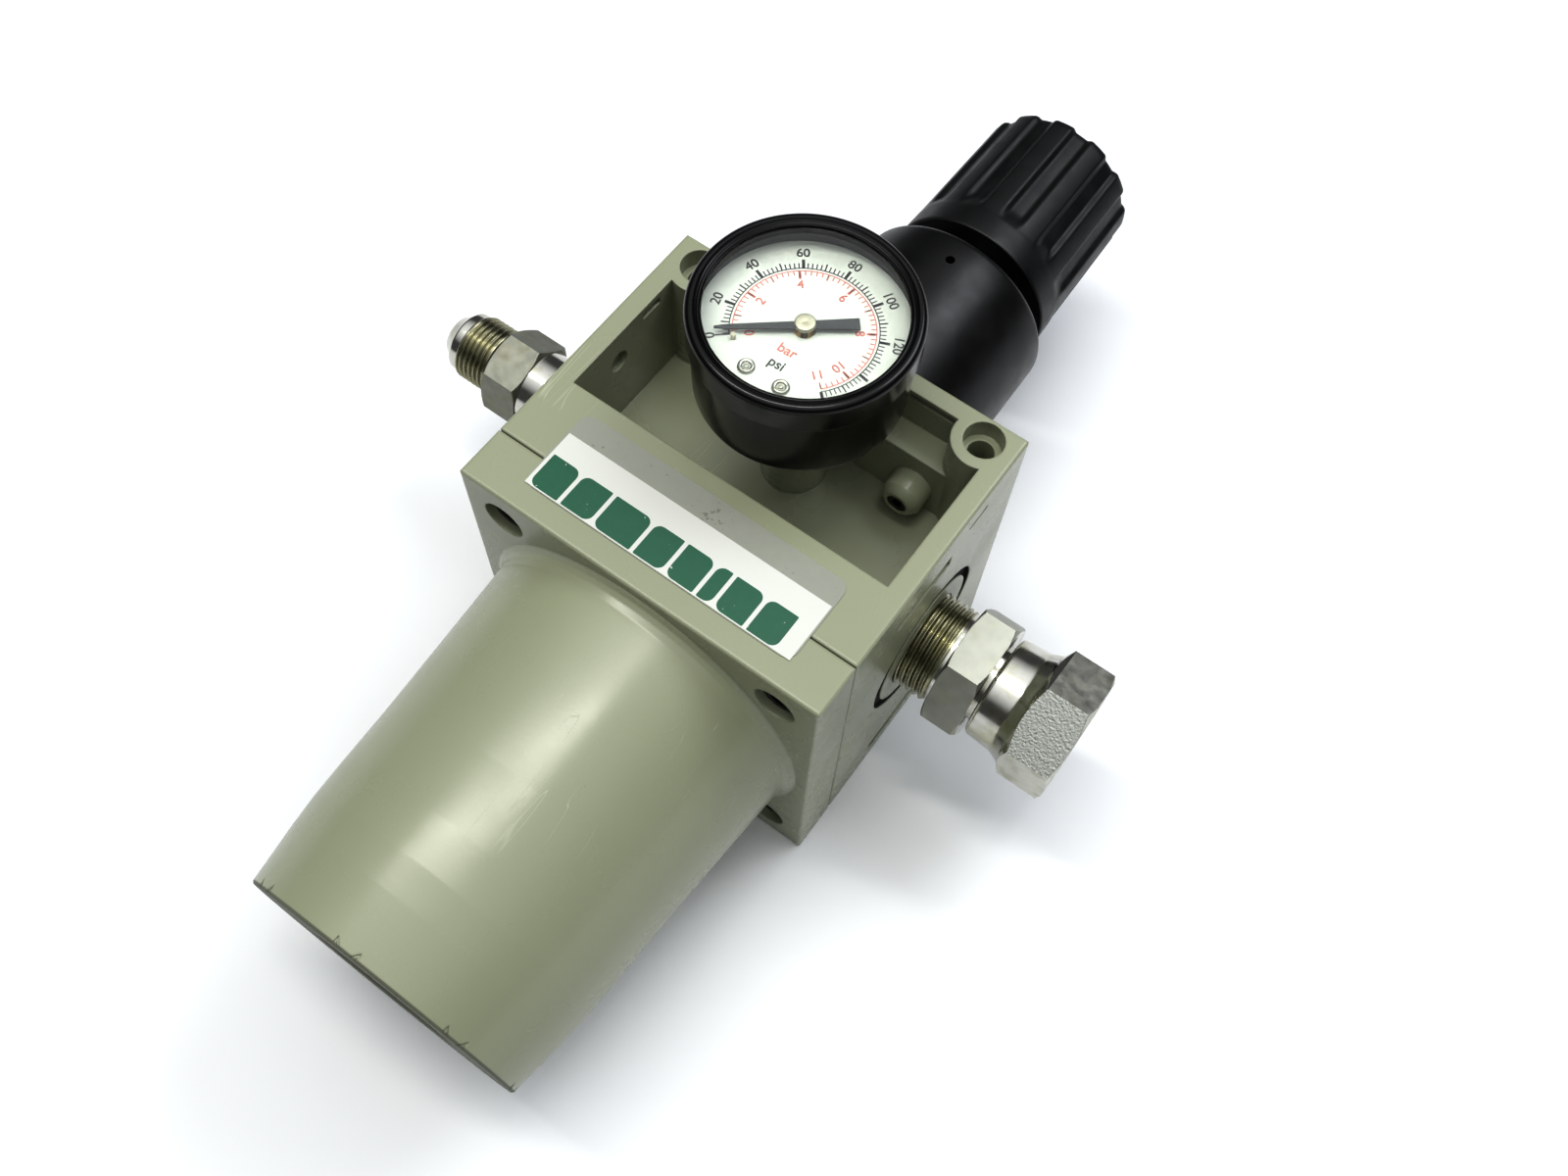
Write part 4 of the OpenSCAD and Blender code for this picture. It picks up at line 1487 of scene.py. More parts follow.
@dataclass
class Casting:
    """The painted body and bowl with what is fixed to them.

    Attributes:
        screw_span: Distances between the bowl screws across X and Z.
        head_base: Where the screw heads sit along Y.
        head_radius: Radius of a screw head.
        head_height: Height of a screw head.
        socket: Width of the hexagon socket.
    """

    screw_span: tuple[float, float] = (77.0, 76.0)
    head_base: float = -42.0
    head_radius: float = 5.0
    head_height: float = 6.0
    socket: float = 5.0

    def build(self, layout: Layout, nodes: dict[str, bpy.types.Object]) -> None:
        """Paints the castings and makes the screws and the label.

        Args:
            layout: Axes of the model.
            nodes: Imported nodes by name.
        """
        for name in ("body", "bowl"):
            dress(nodes[name], CAST_PAINT)
        self.screws(layout)
        Label().build(layout)

    def screws(self, layout: Layout) -> None:
        """Makes the four socket head screws of the bowl from one pattern.

        Args:
            layout: Axes of the model.
        """
        top, base = -self.head_height, 0.0
        rim = self.head_radius
        outline = [
            (top + 3.0, 0.0),
            (top + 3.0, self.socket / math.sqrt(3)),
            (top + 0.25, self.socket / math.sqrt(3)),
            (top, self.socket / math.sqrt(3) + 0.3),
            *arc(top + 0.7, rim - 0.7, 0.7, 180, 90, 4),
            *rows((top + 0.9, rim), (base - 0.2, rim), 2.0),
            (base, rim - 0.2),
            (base, 3.0),
            (base + 19.0, 3.0),
            (base + 19.9, 2.2),
            (base + 19.9, 0.0),
        ]
        part = TurnedPart("screw_pattern", outline, DARK_SCREW, columns=48)
        mesh = part.mesh(Axis.GAUGE, Vector())
        pattern = bpy.data.objects.new("screw_pattern", mesh)
        bpy.context.scene.collection.objects.link(pattern)
        four = corner_recipe().run(
            width=self.screw_span[0] * MM,
            height=self.screw_span[1] * MM,
            piece=pattern,
            finish=DARK_SCREW.build(),
        )
        bpy.data.objects.remove(pattern)
        centre = Vector((0.0, self.head_base * MM, layout.axis_z))
        four.transform(Axis.MAIN.matrix(centre))
        finished(four)
        place_piece("bowl_screw_set", four, "housing", ["bowl_screws"])


@dataclass
class Label:
    """The film label under the window: plain colour fields with no lettering.

    Attributes:
        left: Left end of the film.
        right: Right end of the film.
        ink: Thickness of the printed layer.
        white_band: Lower and upper edge of the white field along Y.
        green_band: Lower and upper edge of the green blocks along Y.
        blocks: Width of each green block.
        gap: Space between two blocks.
    """

    left: float = -36.6
    right: float = 37.8
    ink: float = 0.03
    white_band: tuple[float, float] = (-43.3, -27.4)
    green_band: tuple[float, float] = (-43.0, -33.8)
    blocks: Sequence[float] = (8.0, 8.0, 10.4, 7.7, 7.6, 3.6, 7.8, 7.7)
    gap: float = 1.1

    def build(self, layout: Layout) -> None:
        """Makes the white field and the row of green blocks on the film.

        Args:
            layout: Axes of the model.
        """
        low = layout.label_top / MM
        high = low + self.ink
        band = rounded_box(
            (self.left + 0.4, self.white_band[0]), (self.right - 0.4, self.white_band[1]), [0] * 4
        )
        white = joined([plate(band, low, high)], LABEL_WHITE)
        place_piece("label_white_field", finished(white), "housing")
        x = self.left + 1.3
        fields = []
        for index, width in enumerate(self.blocks):
            radii = [0.3, 2.0, 0.3, 2.0] if index % 2 else [2.0, 0.3, 2.0, 0.3]
            corners = (x, self.green_band[0]), (x + width, self.green_band[1])
            fields.append(plate(rounded_box(*corners, radii), high + 0.01, high + self.ink))
            x += width + self.gap
        green = joined(fields, LABEL_GREEN)
        place_piece("label_green_blocks", finished(green), "housing")


@dataclass
class BonnetAndKnob:
    """The moulded bonnet and the fluted knob.

    Attributes:
        base: Where the bonnet meets the body.
        rim: Top of the bonnet's drum.
        vent: Place of the vent hole along Y.
        knob_low: Lower edge of the knob.
        knob_high: Top of the knob.
        flutes: Number of flutes.
        first_flute: Angle of one valley in degrees.
        flute_depth: Depth of the valleys.
    """

    base: float = 35.0
    rim: float = 92.0
    vent: float = 83.0
    knob_low: float = 98.8
    knob_high: float = 149.0
    flutes: int = 12
    first_flute: float = 20.0
    flute_depth: float = 1.25

    def bonnet_outline(self) -> list[Point]:
        """Lays out the section of the bonnet.

        Returns:
            Points (along, radius).
        """
        edge = 2.4
        return [
            (29.5, 22.0),
            (29.5, 27.95),
            (self.base, 27.95),
            (self.base, 29.2),
            (self.base + 0.4, 29.6),
            *rows((self.base + 1, 29.6), (self.rim - edge - 0.1, 28.85), 6.0),
            *arc(self.rim - edge, 28.83 - edge, edge, 90, 0, 8),
            (self.rim, 16.6),
            *arc(self.rim + 0.6, 16.6, 0.6, 180, 270, 3),
            (104.1, 16.0),
            (104.5, 15.6),
            (104.5, 6.05),
            (86.0, 6.05),
            (86.0, 22.0),
        ]

    def knob_outline(self) -> list[Point]:
        """Lays out the section of the knob, dense where the flutes are pressed in.

        Returns:
            Points (along, radius).
        """
        low, high, edge = self.knob_low, self.knob_high, 2.2
        return [
            (low, 18.0),
            (low, 24.0),
            *arc(low + 0.6, 24.1, 0.6, 180, 90, 4),
            *rows((low + 1.0, 24.7), (low + 8.0, 24.45), 1.0),
            *rows((low + 8.5, 24.4), (high - edge - 0.1, 23.75), 0.9),
            *arc(high - edge, 23.73 - edge, edge, 90, 0, 7),
            *rows((high, 21.3), (high, 16.6), 0.8),
            (high - 0.5, 15.6),
            (high - 0.6, 15.0),
            (146.0, 15.0),
            (146.0, 13.5),
            (132.0, 13.5),
            (132.0, 6.2),
            (112.0, 6.2),
            (112.0, 18.0),
        ]

    def build(self, layout: Layout) -> None:
        """Makes the bonnet with its vent hole, and the knob with its flutes.

        Args:
            layout: Axes of the model.
        """
        bonnet = TurnedPart("bonnet", self.bonnet_outline(), BONNET_BLACK, columns=128)
        mesh = self.drilled(bonnet.mesh(Axis.MAIN, layout.main), layout)
        place_piece("bonnet_shell", mesh, "housing", ["bonnet"])
        knob = TurnedPart("knob", self.knob_outline(), KNOB_BLACK, columns=288)
        plain = knob.mesh(Axis.GAUGE, Vector())
        fluted = flute_recipe().run(
            plain,
            count=float(self.flutes),
            first=math.radians(-self.first_flute),
            depth=self.flute_depth * MM,
            begin=(self.knob_low + 7.5) * MM,
            full=(self.knob_low + 14.0) * MM,
            least_radius=16.8 * MM,
            finish=KNOB_BLACK.build(),
        )
        fluted.transform(Axis.MAIN.matrix(layout.main))
        finished(fluted, 50.0)
        place_piece("knob_grip", fluted, "knob", ["knob"])

    def drilled(self, mesh: bpy.types.Mesh, layout: Layout) -> bpy.types.Mesh:
        """Cuts the small vent hole through the wall of the bonnet.

        Args:
            mesh: Mesh of the bonnet in its place.
            layout: Axes of the model.

        Returns:
            The new mesh.
        """
        shell = bpy.data.objects.new("bonnet_blank", mesh)
        drill = TurnedPart(
            "drill", [(20, 0), (20, 1.3), (40, 1.3), (40, 0)], BONNET_BLACK, columns=32
        ).mesh(Axis.GAUGE, Vector((0.0, self.vent * MM, layout.axis_z)))
        cutter = bpy.data.objects.new("drill", drill)
        for thing in (shell, cutter):
            bpy.context.scene.collection.objects.link(thing)
        cut = shell.modifiers.new("hole", "BOOLEAN")
        cut.operation, cut.object, cut.solver = "DIFFERENCE", cutter, "EXACT"
        graph = bpy.context.evaluated_depsgraph_get()
        result = bpy.data.meshes.new_from_object(shell.evaluated_get(graph), depsgraph=graph)
        for thing in (shell, cutter):
            bpy.data.objects.remove(thing)
        return finished(result)


@dataclass
class Fittings:
    """The threaded steel fittings on both ports.

    Attributes:
        pipe_pitch: Pitch of the 3/4 inch pipe thread, 14 turns to the inch.
        flare_pitch: Pitch of the inlet's flare thread, 16 turns to the inch.
        nut_pitch: Pitch of the swivel nut's thread, 12 turns to the inch.
        grain_facing: Way that the coarse flat of the swivel nut faces.
    """

    pipe_pitch: float = 25.4 / 14
    flare_pitch: float = 25.4 / 16
    nut_pitch: float = 25.4 / 12
    grain_facing: Vector = field(default_factory=lambda: Vector((0.0, -0.565, 0.825)))

    def build(self, layout: Layout) -> None:
        """Makes the three fittings.

        Args:
            layout: Axes of the model.
        """
        for part, body, node in (
            (self.inlet(), "housing", "inlet_adapter"),
            (self.outlet(), "housing", "outlet_adapter"),
            (self.nut(), "swivel_nut", "swivel_nut"),
        ):
            mesh = part.mesh(Axis.PORTS, layout.main)
            if node == "swivel_nut":
                self.roughen(mesh)
            place_piece(part.name, mesh, body, [node])

    def inlet(self) -> TurnedPart:
        """Lays out the long flare adapter of the inlet.

        Returns:
            The turned part.
        """
        step = self.flare_pitch / 12
        outline = [
            (-104.0, 4.9),
            (-104.0, 5.3),
            *rows((-103.8, 5.6), (-100.4, 8.0), 1.0),
            *arc(-99.8, 7.6, 1.05, 120, 90, 3),
            (-97.9, 8.65),
            (-97.2, 9.4),
            *rows((-97.0, 9.5), (-88.2, 9.5), step),
            (-87.8, 9.1),
            (-87.4, 8.3),
            (-86.6, 8.3),
            (-86.5, 11.2),
            *rows((-86.4, 11.5), (-85.6, 12.9), 0.3),
            *rows((-85.5, 12.9), (-76.0, 12.9), 3.0),
            *rows((-75.9, 12.9), (-75.1, 11.4), 0.3),
            (-75.0, 10.8),
            *rows((-74.9, 10.8), (-54.0, 10.8), 3.0),
            (-53.4, 11.6),
            (-52.8, 13.2),
            *rows((-52.6, 13.3), (-37.0, 13.3), self.pipe_pitch / 8),
            (-36.0, 12.3),
            (-36.0, 4.9),
        ]
        return TurnedPart(
            "inlet_flare_adapter",
            outline,
            INLET_STEEL,
            first_deg=-11.5,
            hexagons=[Hexagon(-86.55, -75.05, 22.2)],
            threads=[
                Thread(-97.6, -87.6, 9.5, self.flare_pitch, 0.85),
                Thread(-53.2, -36.2, 13.3, self.pipe_pitch, 1.1),
            ],
            zones=[Zone(-104.5, -97.5, 5.0, COLLAR_STEEL), Zone(-75.0, -53.0, 9.0, COLLAR_STEEL)],
        )

    def outlet(self) -> TurnedPart:
        """Lays out the hexagon adapter of the outlet.

        Returns:
            The turned part.
        """
        outline = [
            (36.0, 7.5),
            (36.0, 12.3),
            (36.8, 13.3),
            *rows((37.0, 13.3), (58.3, 13.3), self.pipe_pitch / 12),
            (58.7, 12.7),
            *rows((58.8, 12.7), (60.1, 12.7), 0.5),
            (60.3, 12.9),
            (60.3, 15.9),
            *rows((60.4, 16.1), (61.1, 17.7), 0.3),
            *rows((61.2, 17.7), (69.6, 17.7), 3.0),
            *rows((69.7, 17.7), (70.4, 16.1), 0.3),
            (70.5, 15.9),
            (70.5, 10.6),
            (80.0, 10.6),
            (84.0, 12.0),
            (86.0, 12.0),
            (86.0, 10.3),
            (82.4, 7.5),
        ]
        return TurnedPart(
            "outlet_hex_adapter",
            outline,
            HEX_STEEL,
            first_deg=31.3,
            hexagons=[Hexagon(60.3, 70.5, 30.5)],
            threads=[Thread(36.5, 58.9, 13.3, self.pipe_pitch, 1.1)],
            zones=[Zone(58.6, 60.3, 10.0, COLLAR_STEEL), Zone(70.5, 86.5, 8.0, COLLAR_STEEL)],
        )

    def nut(self) -> TurnedPart:
        """Lays out the swivel nut: a polished collar, flared into a hexagon.

        Returns:
            The turned part.
        """
        outline = [
            (71.6, 10.9),
            *arc(72.9, 12.6, 1.3, 180, 95, 7),
            *rows((73.1, 13.92), (79.0, 14.35), 0.8),
            *rows((79.4, 14.4), (82.2, 15.6), 0.4),
            *rows((82.5, 15.8), (83.5, 17.6), 0.25),
            *rows((83.6, 17.8), (84.0, 18.6), 0.3),
            *rows((84.1, 18.6), (94.9, 18.6), 3.0),
            *rows((95.0, 18.6), (95.9, 16.6), 0.3),
            (96.0, 16.4),
            (96.0, 13.7),
            (95.4, 13.0),
            *rows((95.0, 12.5), (86.3, 12.5), self.nut_pitch / 8),
            (86.0, 12.9),
            (80.3, 12.9),
            (78.4, 10.9),
        ]
        return TurnedPart(
            "outlet_swivel_nut",
            outline,
            NUT_STEEL,
            first_deg=4.4,
            hexagons=[Hexagon(79.9, 96.0, 31.75)],
            threads=[Thread(86.2, 95.2, 12.5, self.nut_pitch, -0.9)],
            zones=[Zone(72.0, 84.05, 12.8, COLLAR_STEEL)],
        )

    def roughen(self, mesh: bpy.types.Mesh) -> None:
        """Gives the one coarse flat of the nut its own finish.

        Args:
            mesh: Mesh of the nut in its place, changed in place.
        """
        mesh.materials.append(COARSE_STEEL.build())
        index = len(mesh.materials) - 1
        facing = self.grain_facing.normalized()
        for face in mesh.polygons:
            if face.normal.dot(facing) > 0.995 and face.center.x > 0.0815:
                face.material_index = index


class Ink(Enum):
    """The two printing inks of the dial."""

    BLACK = ("dial_black", PRINT_BLACK)
    RED = ("dial_red", PRINT_RED)


@dataclass
class Gauge:
    """The dial gauge with its two scales.

    Attributes:
        face: Height of the printed face, read from the model.
        zero_deg: Direction of the zero mark.
        sweep_deg: Angle from zero to full scale.
        full: Full scale in psi.
        bar: Psi in one bar.
        zero_mark: Where the zero mark is printed, drawn in towards the scale, in psi.
        arc_radius: Radius of the black arc under the marks.
    """

    face: float = 0.0
    zero_deg: float = 227.5
    sweep_deg: float = 270.0
    full: float = 160.0
    bar: float = 14.5038
    zero_mark: float = 3.5
    arc_radius: float = 16.5

    def build(self, layout: Layout) -> None:
        """Makes the case, the bezel, the screw heads, the hub and the print.

        Args:
            layout: Axes of the model.
        """
        self.face = layout.dial
        for name, outline, node in (
            ("gauge_cup", self.case_outline(layout), "gauge_case"),
            ("gauge_ring", self.bezel_outline(layout), "gauge_bezel"),
        ):
            mesh = TurnedPart(name, outline, GAUGE_BLACK, columns=160).mesh(
                Axis.GAUGE, layout.gauge
            )
            place_piece(name, mesh, "housing", [node])
        self.screw_heads(layout)
        self.hub(layout)
        self.print_scales(layout)

    @staticmethod
    def case_outline(layout: Layout) -> list[Point]:
        """Lays out the section of the pressed cup.

        Args:
            layout: Axes of the model.

        Returns:
            Points (along, radius).
        """
        (low, wide), high = layout.case, layout.bezel[0] - 2.8
        return [
            (low, 7.0),
            (low, wide - 3.6),
            *arc(low + 2.8, wide - 3.55, 2.8, 180, 91, 8),
            *rows((low + 3.0, wide - 0.72), (high, wide), 5.0),
            (high, wide - 1.2),
            (low + 1.2, wide - 1.9),
            (low + 1.2, 7.0),
        ]

    @staticmethod
    def bezel_outline(layout: Layout) -> list[Point]:
        """Lays out the section of the ring that holds the lens.

        Args:
            layout: Axes of the model.

        Returns:
            Points (along, radius).
        """
        top, wide = layout.bezel
        inner = wide - 0.55
        return [
            (top - 8.0, inner),
            (top - 8.0, wide - 0.25),
            *arc(top - 7.7, wide - 0.3, 0.3, 180, 90, 3),
            *rows((top - 7.5, wide), (top - 1.7, wide), 3.0),
            *arc(top - 1.6, wide - 1.6, 1.6, 90, 5, 8),
            (top - 0.1, wide - 1.9),
            (top - 0.5, wide - 2.3),
            (top - 0.65, wide - 2.6),
            *arc(top - 0.7, wide - 3.05, 0.35, 60, -60, 5),
            (top - 0.7, wide - 3.65),
            (top - 1.2, wide - 3.85),
            (top - 1.2, inner),
        ]

    def screw_heads(self, layout: Layout) -> None:
        """Makes the two domed screws of the dial.

        Args:
            layout: Axes of the model.
        """
        outline = [
            (-3.9, 0.0),
            (-3.9, 0.95),
            (0.02, 0.95),
            (0.02, 2.0),
            (0.45, 1.95),
            (0.72, 1.7),
            (0.80, 1.45),
            (0.70, 1.15),
            (0.32, 0.95),
            (0.30, 0.6),
            (0.62, 0.45),
            (0.70, 0.0),
        ]
        heads = []
        for angle in (-105.5, -73.0):
            a = math.radians(angle)
            spot = Vector((16.2 * math.cos(a), 16.2 * math.sin(a), self.face)) * MM
            part = TurnedPart("dial_screw", outline, PLATED_STEEL, columns=40)
            heads.append(part.mesh(Axis.GAUGE, layout.gauge + spot))
        mesh = finished(joined(heads, PLATED_STEEL))
        place_piece("dial_screw_heads", mesh, "housing", ["dial_screws"])

    def hub(self, layout: Layout) -> None:
        """Makes the pale cap on the pointer.

        Args:
            layout: Axes of the model.
        """
        low = self.face
        outline = [
            (low + 0.8, 0.85),
            (low + 0.8, 1.6),
            (low + 1.2, 1.6),
            (low + 1.2, 1.2),
            (low + 1.7, 1.2),
            (low + 1.7, 2.25),
            *arc(low + 1.85, 2.25, 0.15, 180, 90, 3),
            *arc(low + 2.35, 1.95, 0.45, 90, 10, 6),
            (low + 2.78, 1.2),
            (low + 2.82, 0.3),
            (low + 2.7, 0.0),
            (low + 2.58, 0.0),
            (low + 2.58, 0.85),
        ]
        mesh = TurnedPart("hub", outline, CAP_METAL, columns=64).mesh(Axis.GAUGE, layout.gauge)
        place_piece("pointer_cap", mesh, "gauge_pointer", ["pointer_hub"])

    def direction(self, psi: float) -> float:
        """Returns the direction of a reading, in radians from +X."""
        return math.radians(self.zero_deg - self.sweep_deg * psi / self.full)

    def print_scales(self, layout: Layout) -> None:
        """Prints both scales, their numbers and the two unit words.

        Args:
            layout: Axes of the model.
        """
        ticks = tick_recipe()
        scales = [
            # first mark and step in psi, count, inner, outer, width, ink
            (4.0, 2.0, 79, 16.5, 17.9, 0.27, Ink.BLACK),
            (10.0, 10.0, 16, 16.5, 18.4, 0.34, Ink.BLACK),
            (20.0, 20.0, 8, 16.5, 18.9, 0.70, Ink.BLACK),
            (self.zero_mark, 1.0, 1, 16.3, 19.6, 0.42, Ink.BLACK),
            (self.bar * 0.4, self.bar / 5, 54, 14.6, 15.8, 0.26, Ink.RED),
            (self.bar, self.bar, 11, 14.1, 15.8, 0.32, Ink.RED),
            (self.bar * 2, self.bar * 2, 5, 13.6, 15.8, 0.60, Ink.RED),
        ]
        printed: dict[Ink, list[bpy.types.Mesh]] = {Ink.BLACK: [], Ink.RED: []}
        for start, unit, count, inner, outer, width, ink in scales:
            mesh = ticks.run(
                count=count,
                first=self.direction(start),
                step=self.direction(unit) - self.direction(0.0),
                inner=inner * MM,
                outer=outer * MM,
                width=width * MM,
                low=(self.face + 0.015) * MM,
                finish=ink.value[1].build(),
            )
            mesh.transform(Matrix.Translation(layout.gauge))
            printed[ink].append(mesh)
        for radius, width, last, ink in (
            (self.arc_radius, 0.24, self.full, Ink.BLACK),
            (15.8, 0.24, 11 * self.bar, Ink.RED),
        ):
            printed[ink].append(self.printed_arc(radius, width, last, layout))
        for psi in range(0, 161, 20):
            turn = self.direction(psi or self.zero_mark)
            printed[Ink.BLACK].append(self.word(str(psi), 2.3, 20.7, turn, layout))
        for bars in (0, 2, 4, 6, 8, 10, 11):
            turn = self.direction(bars * self.bar or self.zero_mark)
            printed[Ink.RED].append(self.word(str(bars), 2.2, 12.0, turn, layout))
        upright = math.radians(92.5)
        printed[Ink.RED].append(self.word("bar", 2.5, -6.9, upright, layout))
        printed[Ink.BLACK].append(self.word("psi", 2.5, -11.1, upright, layout))
        for ink, meshes in printed.items():
            slot, finish = ink.value
            name = "dial_print_" + ink.name.lower()
            place_piece(name, joined(meshes, finish), "housing")

    def printed_arc(
        self, radius: float, width: float, last: float, layout: Layout
    ) -> bpy.types.Mesh:
        """Makes a thin printed arc that starts at the zero mark.

        Args:
            radius: Radius of the arc in millimetres.
            width: Width of the line in millimetres.
            last: Reading where it ends, in psi.
            layout: Axes of the model.

        Returns:
            The mesh in its place.
        """
        count, first = 120, self.zero_mark
        angles = [self.direction(first + (last - first) * i / count) for i in range(count + 1)]
        rims = [radius - width / 2, radius + width / 2]
        outer = [(rims[1] * math.cos(a), rims[1] * math.sin(a)) for a in angles]
        inner = [(rims[0] * math.cos(a), rims[0] * math.sin(a)) for a in reversed(angles)]
        low, high = self.face, self.face + 0.03
        points = [(x * MM, y * MM, z * MM) for z in (low, high) for x, y in outer + inner]
        total, faces = 2 * (count + 1), []
        for i in range(count):
            a, b, c, d = i, i + 1, total - 2 - i, total - 1 - i
            faces += [[a, b, c, d][::-1], [a + total, b + total, c + total, d + total]]
        faces += [[i, (i + 1) % total, (i + 1) % total + total, i + total] for i in range(total)]
        mesh = bpy.data.meshes.new("arc")
        mesh.from_pydata(points, [], faces)
        finished(mesh)
        mesh.transform(Matrix.Translation(layout.gauge))
        return mesh

    def word(
        self, text: str, height: float, radius: float, direction: float, layout: Layout
    ) -> bpy.types.Mesh:
        """Returns printed characters that stand upright along a direction.

        Args:
            text: Number or unit.
            height: Size of the characters.
            radius: Distance of their middle from the centre, negative for below it.
            direction: Direction that is up for them, in radians.
            layout: Axes of the model.

        Returns:
            The mesh in its place.
        """
        curve = bpy.data.curves.new("word", "FONT")
        curve.body, curve.size, curve.extrude = text, height * MM * 1.38, 0.015 * MM
        curve.align_x, curve.align_y, curve.space_character = "CENTER", "CENTER", 1.0
        curve.bevel_depth, curve.bevel_resolution = 0.00005, 0
        holder = bpy.data.objects.new("word", curve)
        bpy.context.scene.collection.objects.link(holder)
        graph = bpy.context.evaluated_depsgraph_get()
        mesh = bpy.data.meshes.new_from_object(holder.evaluated_get(graph), depsgraph=graph)
        bpy.data.objects.remove(holder)
        spot = Vector((radius * math.cos(direction), radius * math.sin(direction), 0)) * MM
        spot.z = (self.face + 0.016) * MM
        turn = Matrix.Rotation(direction - math.pi / 2, 4, "Z")
        mesh.transform(Matrix.Translation(layout.gauge + spot) @ turn)
        return mesh


@dataclass
class Coils:
    """The two wire springs.

    Attributes:
        main_span: Ends of the main spring along Y.
        valve_span: Ends of the valve spring along Y.
    """

    main_span: tuple[float, float] = (32.0, 72.0)
    valve_span: tuple[float, float] = (-28.0, -10.0)

    def build(self, layout: Layout) -> None:
        """Winds both springs.

        Args:
            layout: Axes of the model.
        """
        recipe = coil_recipe()
        for name, node, span, radius, wire, turns, joint, keep in (
            ("main_coil", "main_spring", self.main_span, 12.5, 3.2, 6.0, "nut_travel", 0.645),
            ("valve_coil", "valve_spring", self.valve_span, 7.5, 1.2, 5.0, "valve_lift", 0.917),
        ):
            mesh = recipe.run(
                radius=radius * MM,
                wire=wire / 2 * MM,
                height=(span[1] - span[0] - wire) * MM,
                turns=turns,
                finish=SPRING_STEEL.build(),
            )
            base = Vector((0.0, (span[0] + wire / 2) * MM, layout.axis_z))
            mesh.transform(Axis.MAIN.matrix(base))
            finished(mesh, 60.0)
            piece = place_piece(name, mesh, "housing", [node])
            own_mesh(piece)


def dress(node: bpy.types.Object, finish: Finish) -> None:
    """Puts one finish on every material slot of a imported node.

    Args:
        node: Object of the node.
        finish: Finish to give it.
    """
    if not node.material_slots:
        node.data.materials.append(None)
    for slot in node.material_slots:
        slot.material = finish.build()


NODE_FINISHES: dict[Finish, tuple[str, ...]] = {
    LABEL_FILM: ("label",),
    DARK_SCREW: ("recess_plug",),
    WHITE_MOULDING: ("deflector", "baffle"),
    SINTERED: ("filter_element",),
    RUBBER: ("bowl_o_ring", "filter_seal", "valve_face", "diaphragm"),
    PLATED_STEEL: (
        "tie_rod", "baffle_nut", "spring_plate", "plate_nut", "spring_nut", "adjusting_screw",
    ),
    BRASS: (
        "drain_body", "valve_plug", "seat_insert", "valve_poppet", "relief_seat",
        "thrust_washer",
    ),
    GAUGE_BRASS: (
        "gauge_socket", "gauge_sector", "movement_frame", "bourdon_tube",
    ),
    SPRING_STEEL: (
        "valve_stem", "knob_clip", "pointer_spindle", "movement_pillars", "gauge_link",
    ),
    CAP_METAL: ("stop_pin",),
    KNOB_BLACK: ("drain_knob", "knob_cap"),
    DIAL_WHITE: ("gauge_dial",),
    POINTER_BLACK: ("gauge_pointer",),
    LENS: ("gauge_lens",),
}


@dataclass(frozen=True)
class Lamp:
    """A rectangular lamp that faces the part.

    Attributes:
        name: Name of the lamp.
        place: Its middle, in metres.
        size: Its width and length, in metres.
        power: Its power in watts.
        colour: sRGB hex value of its light.
    """

    name: str
    place: tuple[float, float, float]
    size: tuple[float, float]
    power: float
    colour: str


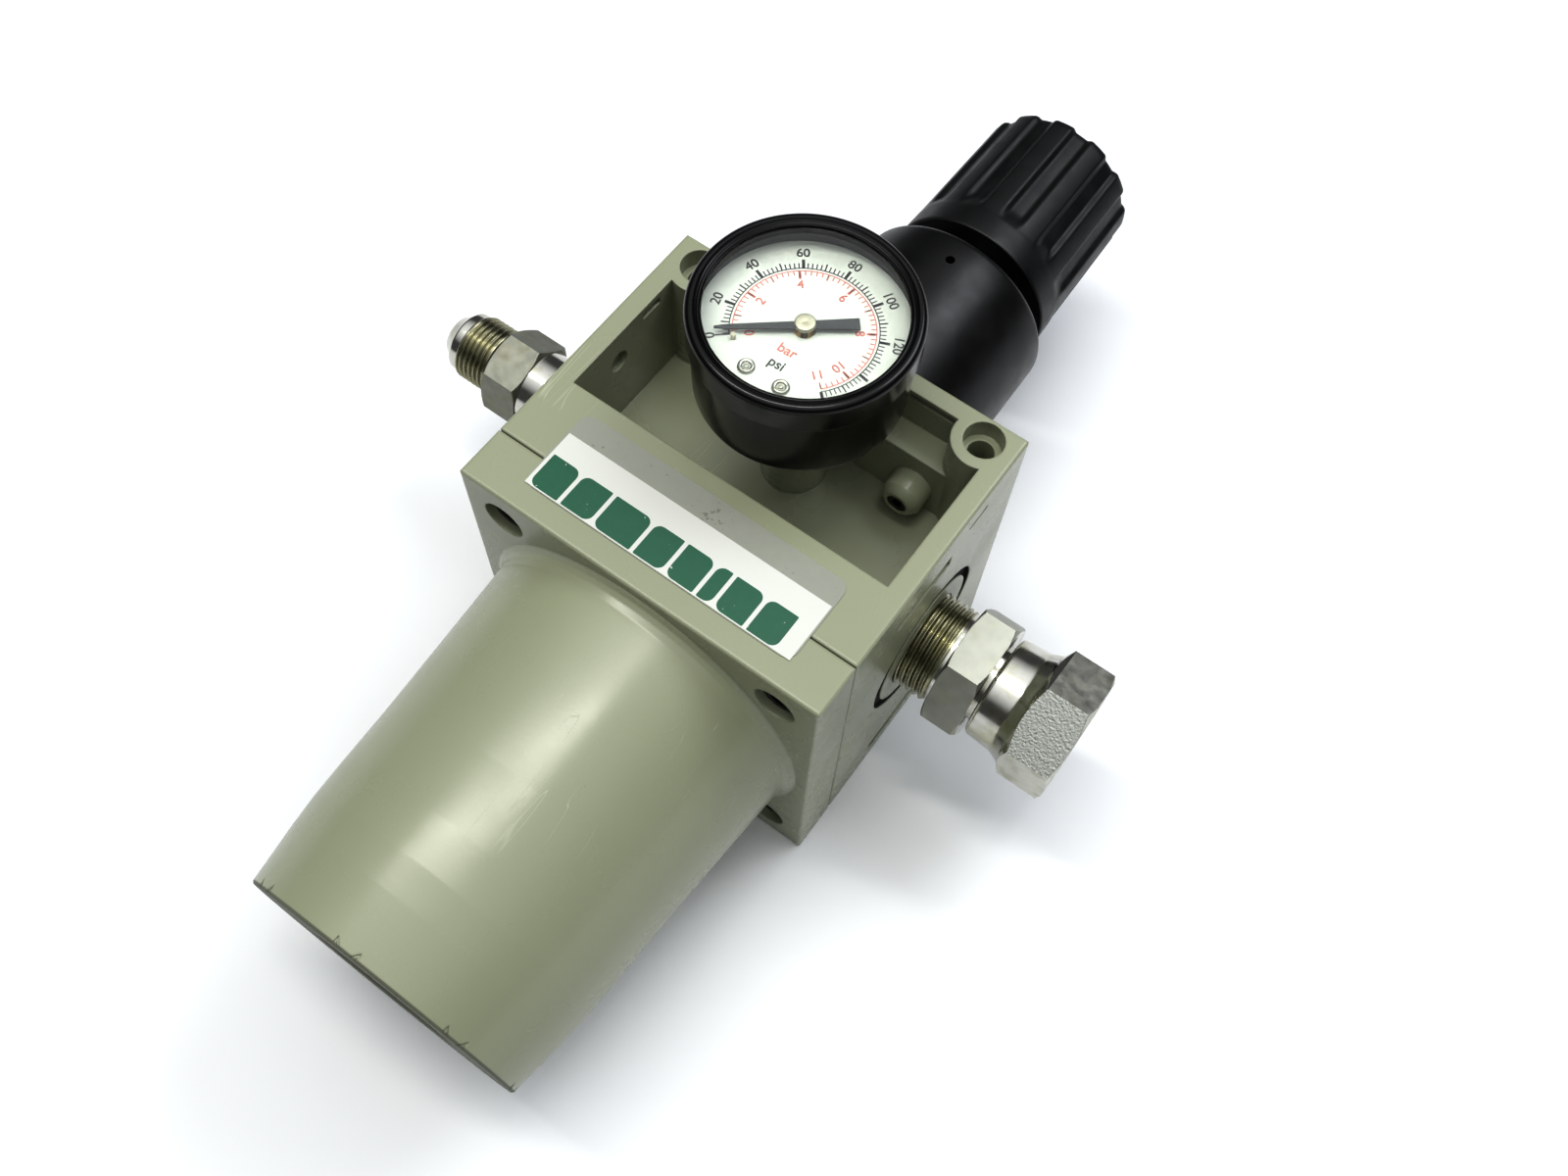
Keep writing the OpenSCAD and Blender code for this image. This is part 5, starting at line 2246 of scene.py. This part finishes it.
@dataclass
class Studio:
    """Pale floor, soft lamps and the camera.

    Attributes:
        ceiling: Long narrow lamp that draws the streak along the bowl.
        window: Square lamp behind the knob that throws the soft shadows forward.
        lens: Focal length on a 36 mm wide sensor.
        eye: Place of the camera in millimetres.
        right: Direction that is right in the picture.
        up: Direction that is up in the picture.
    """

    ceiling: Lamp = Lamp("ceiling_lamp", (-0.20, -0.06, 1.30), (0.11, 0.95), 8.6, "#FFFEF8")
    window: Lamp = Lamp("window_glow", (0.32, 0.75, 1.10), (0.6, 0.6), 6.5, "#F6F9FF")
    lens: float = 33.62
    eye: tuple[float, float, float] = (100.09, -149.6, 386.52)
    right: tuple[float, float, float] = (0.8107, 0.5844, 0.0351)
    up: tuple[float, float, float] = (-0.5384, 0.7207, 0.4367)

    def build(self) -> None:
        """Makes the whole studio."""
        self.floor()
        self.lamps()
        self.camera()
        scene = bpy.context.scene
        scene.view_settings.view_transform = "Standard"
        scene.view_settings.look = "None"
        scene.view_settings.gamma = 0.77

    def floor(self) -> None:
        """Lays a large pale sheet under the part."""
        size = 6000.0
        corners = [(-size, -size), (size, -size), (size, size), (-size, size)]
        mesh = bpy.data.meshes.new("floor")
        mesh.from_pydata([(x * MM, y * MM, -0.00002) for x, y in corners], [], [[0, 1, 2, 3]])
        # Matt paper: an even white that takes soft shadows.
        paper = Finish("white_paper_sweep", "#E6E7E9", 0.7, mottle=0.004, mottle_mm=300.0)
        mesh.materials.append(paper.build())
        floor = bpy.data.objects.new("floor", mesh)
        bpy.context.scene.collection.objects.link(floor)

    def lamps(self) -> None:
        """Hangs the two lamps, and makes the room around the part pale."""
        for lamp in (self.ceiling, self.window):
            data = bpy.data.lights.new(lamp.name, "AREA")
            data.shape, data.size, data.size_y = "RECTANGLE", *lamp.size
            data.energy, data.color = lamp.power, linear(lamp.colour)[:3]
            hung = bpy.data.objects.new(lamp.name, data)
            hung.location = lamp.place
            aim = Vector((0.0, 0.0, 0.05)) - Vector(lamp.place)
            hung.rotation_euler = aim.to_track_quat("-Z", "Y").to_euler()
            bpy.context.scene.collection.objects.link(hung)
        world = bpy.data.worlds.new("pale_room")
        bpy.context.scene.world = world
        world.use_nodes = True
        tree = world.node_tree
        tree.nodes.clear()
        # The room is brighter overhead than at the height of the table.
        place = add_node(tree, "ShaderNodeTexCoord").outputs["Generated"]
        height = add_node(tree, "ShaderNodeSeparateXYZ", {0: place}).outputs[2]
        level = add_node(tree, RANGE, {0: height, 1: 0.52, 2: 1.0, 3: 0.12, 4: 1.85}).outputs[0]
        glow = add_node(
            tree, "ShaderNodeBackground", {0: linear("#F7F9FB"), 1: level}
        )
        add_node(tree, "ShaderNodeOutputWorld", {0: glow.outputs[0]})

    def camera(self) -> None:
        """Sets the camera where it looks down on the bowl and the gauge."""
        data = bpy.data.cameras.new("camera")
        data.lens, data.sensor_width = self.lens, 36.0
        data.clip_start, data.clip_end = 0.01, 30.0
        camera = bpy.data.objects.new("camera", data)
        right = Vector(self.right).normalized()
        up = Vector(self.up)
        up = (up - right * up.dot(right)).normalized()
        turn = Matrix((right, up, right.cross(up))).transposed().to_4x4()
        camera.matrix_world = Matrix.Translation(Vector(self.eye) * MM) @ turn
        bpy.context.scene.collection.objects.link(camera)
        bpy.context.scene.camera = camera


def main() -> None:
    """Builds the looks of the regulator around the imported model."""
    logging.basicConfig(level=logging.INFO, format="%(name)s: %(message)s")
    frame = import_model()
    nodes = frame["nodes"]
    layout = Layout.read()
    for finish, names in NODE_FINISHES.items():
        for name in names:
            dress(nodes[name], finish)
    Casting().build(layout, nodes)
    BonnetAndKnob().build(layout)
    Fittings().build(layout)
    Gauge().build(layout)
    Coils().build(layout)
    Studio().build()


if __name__ == "__main__":
    main()
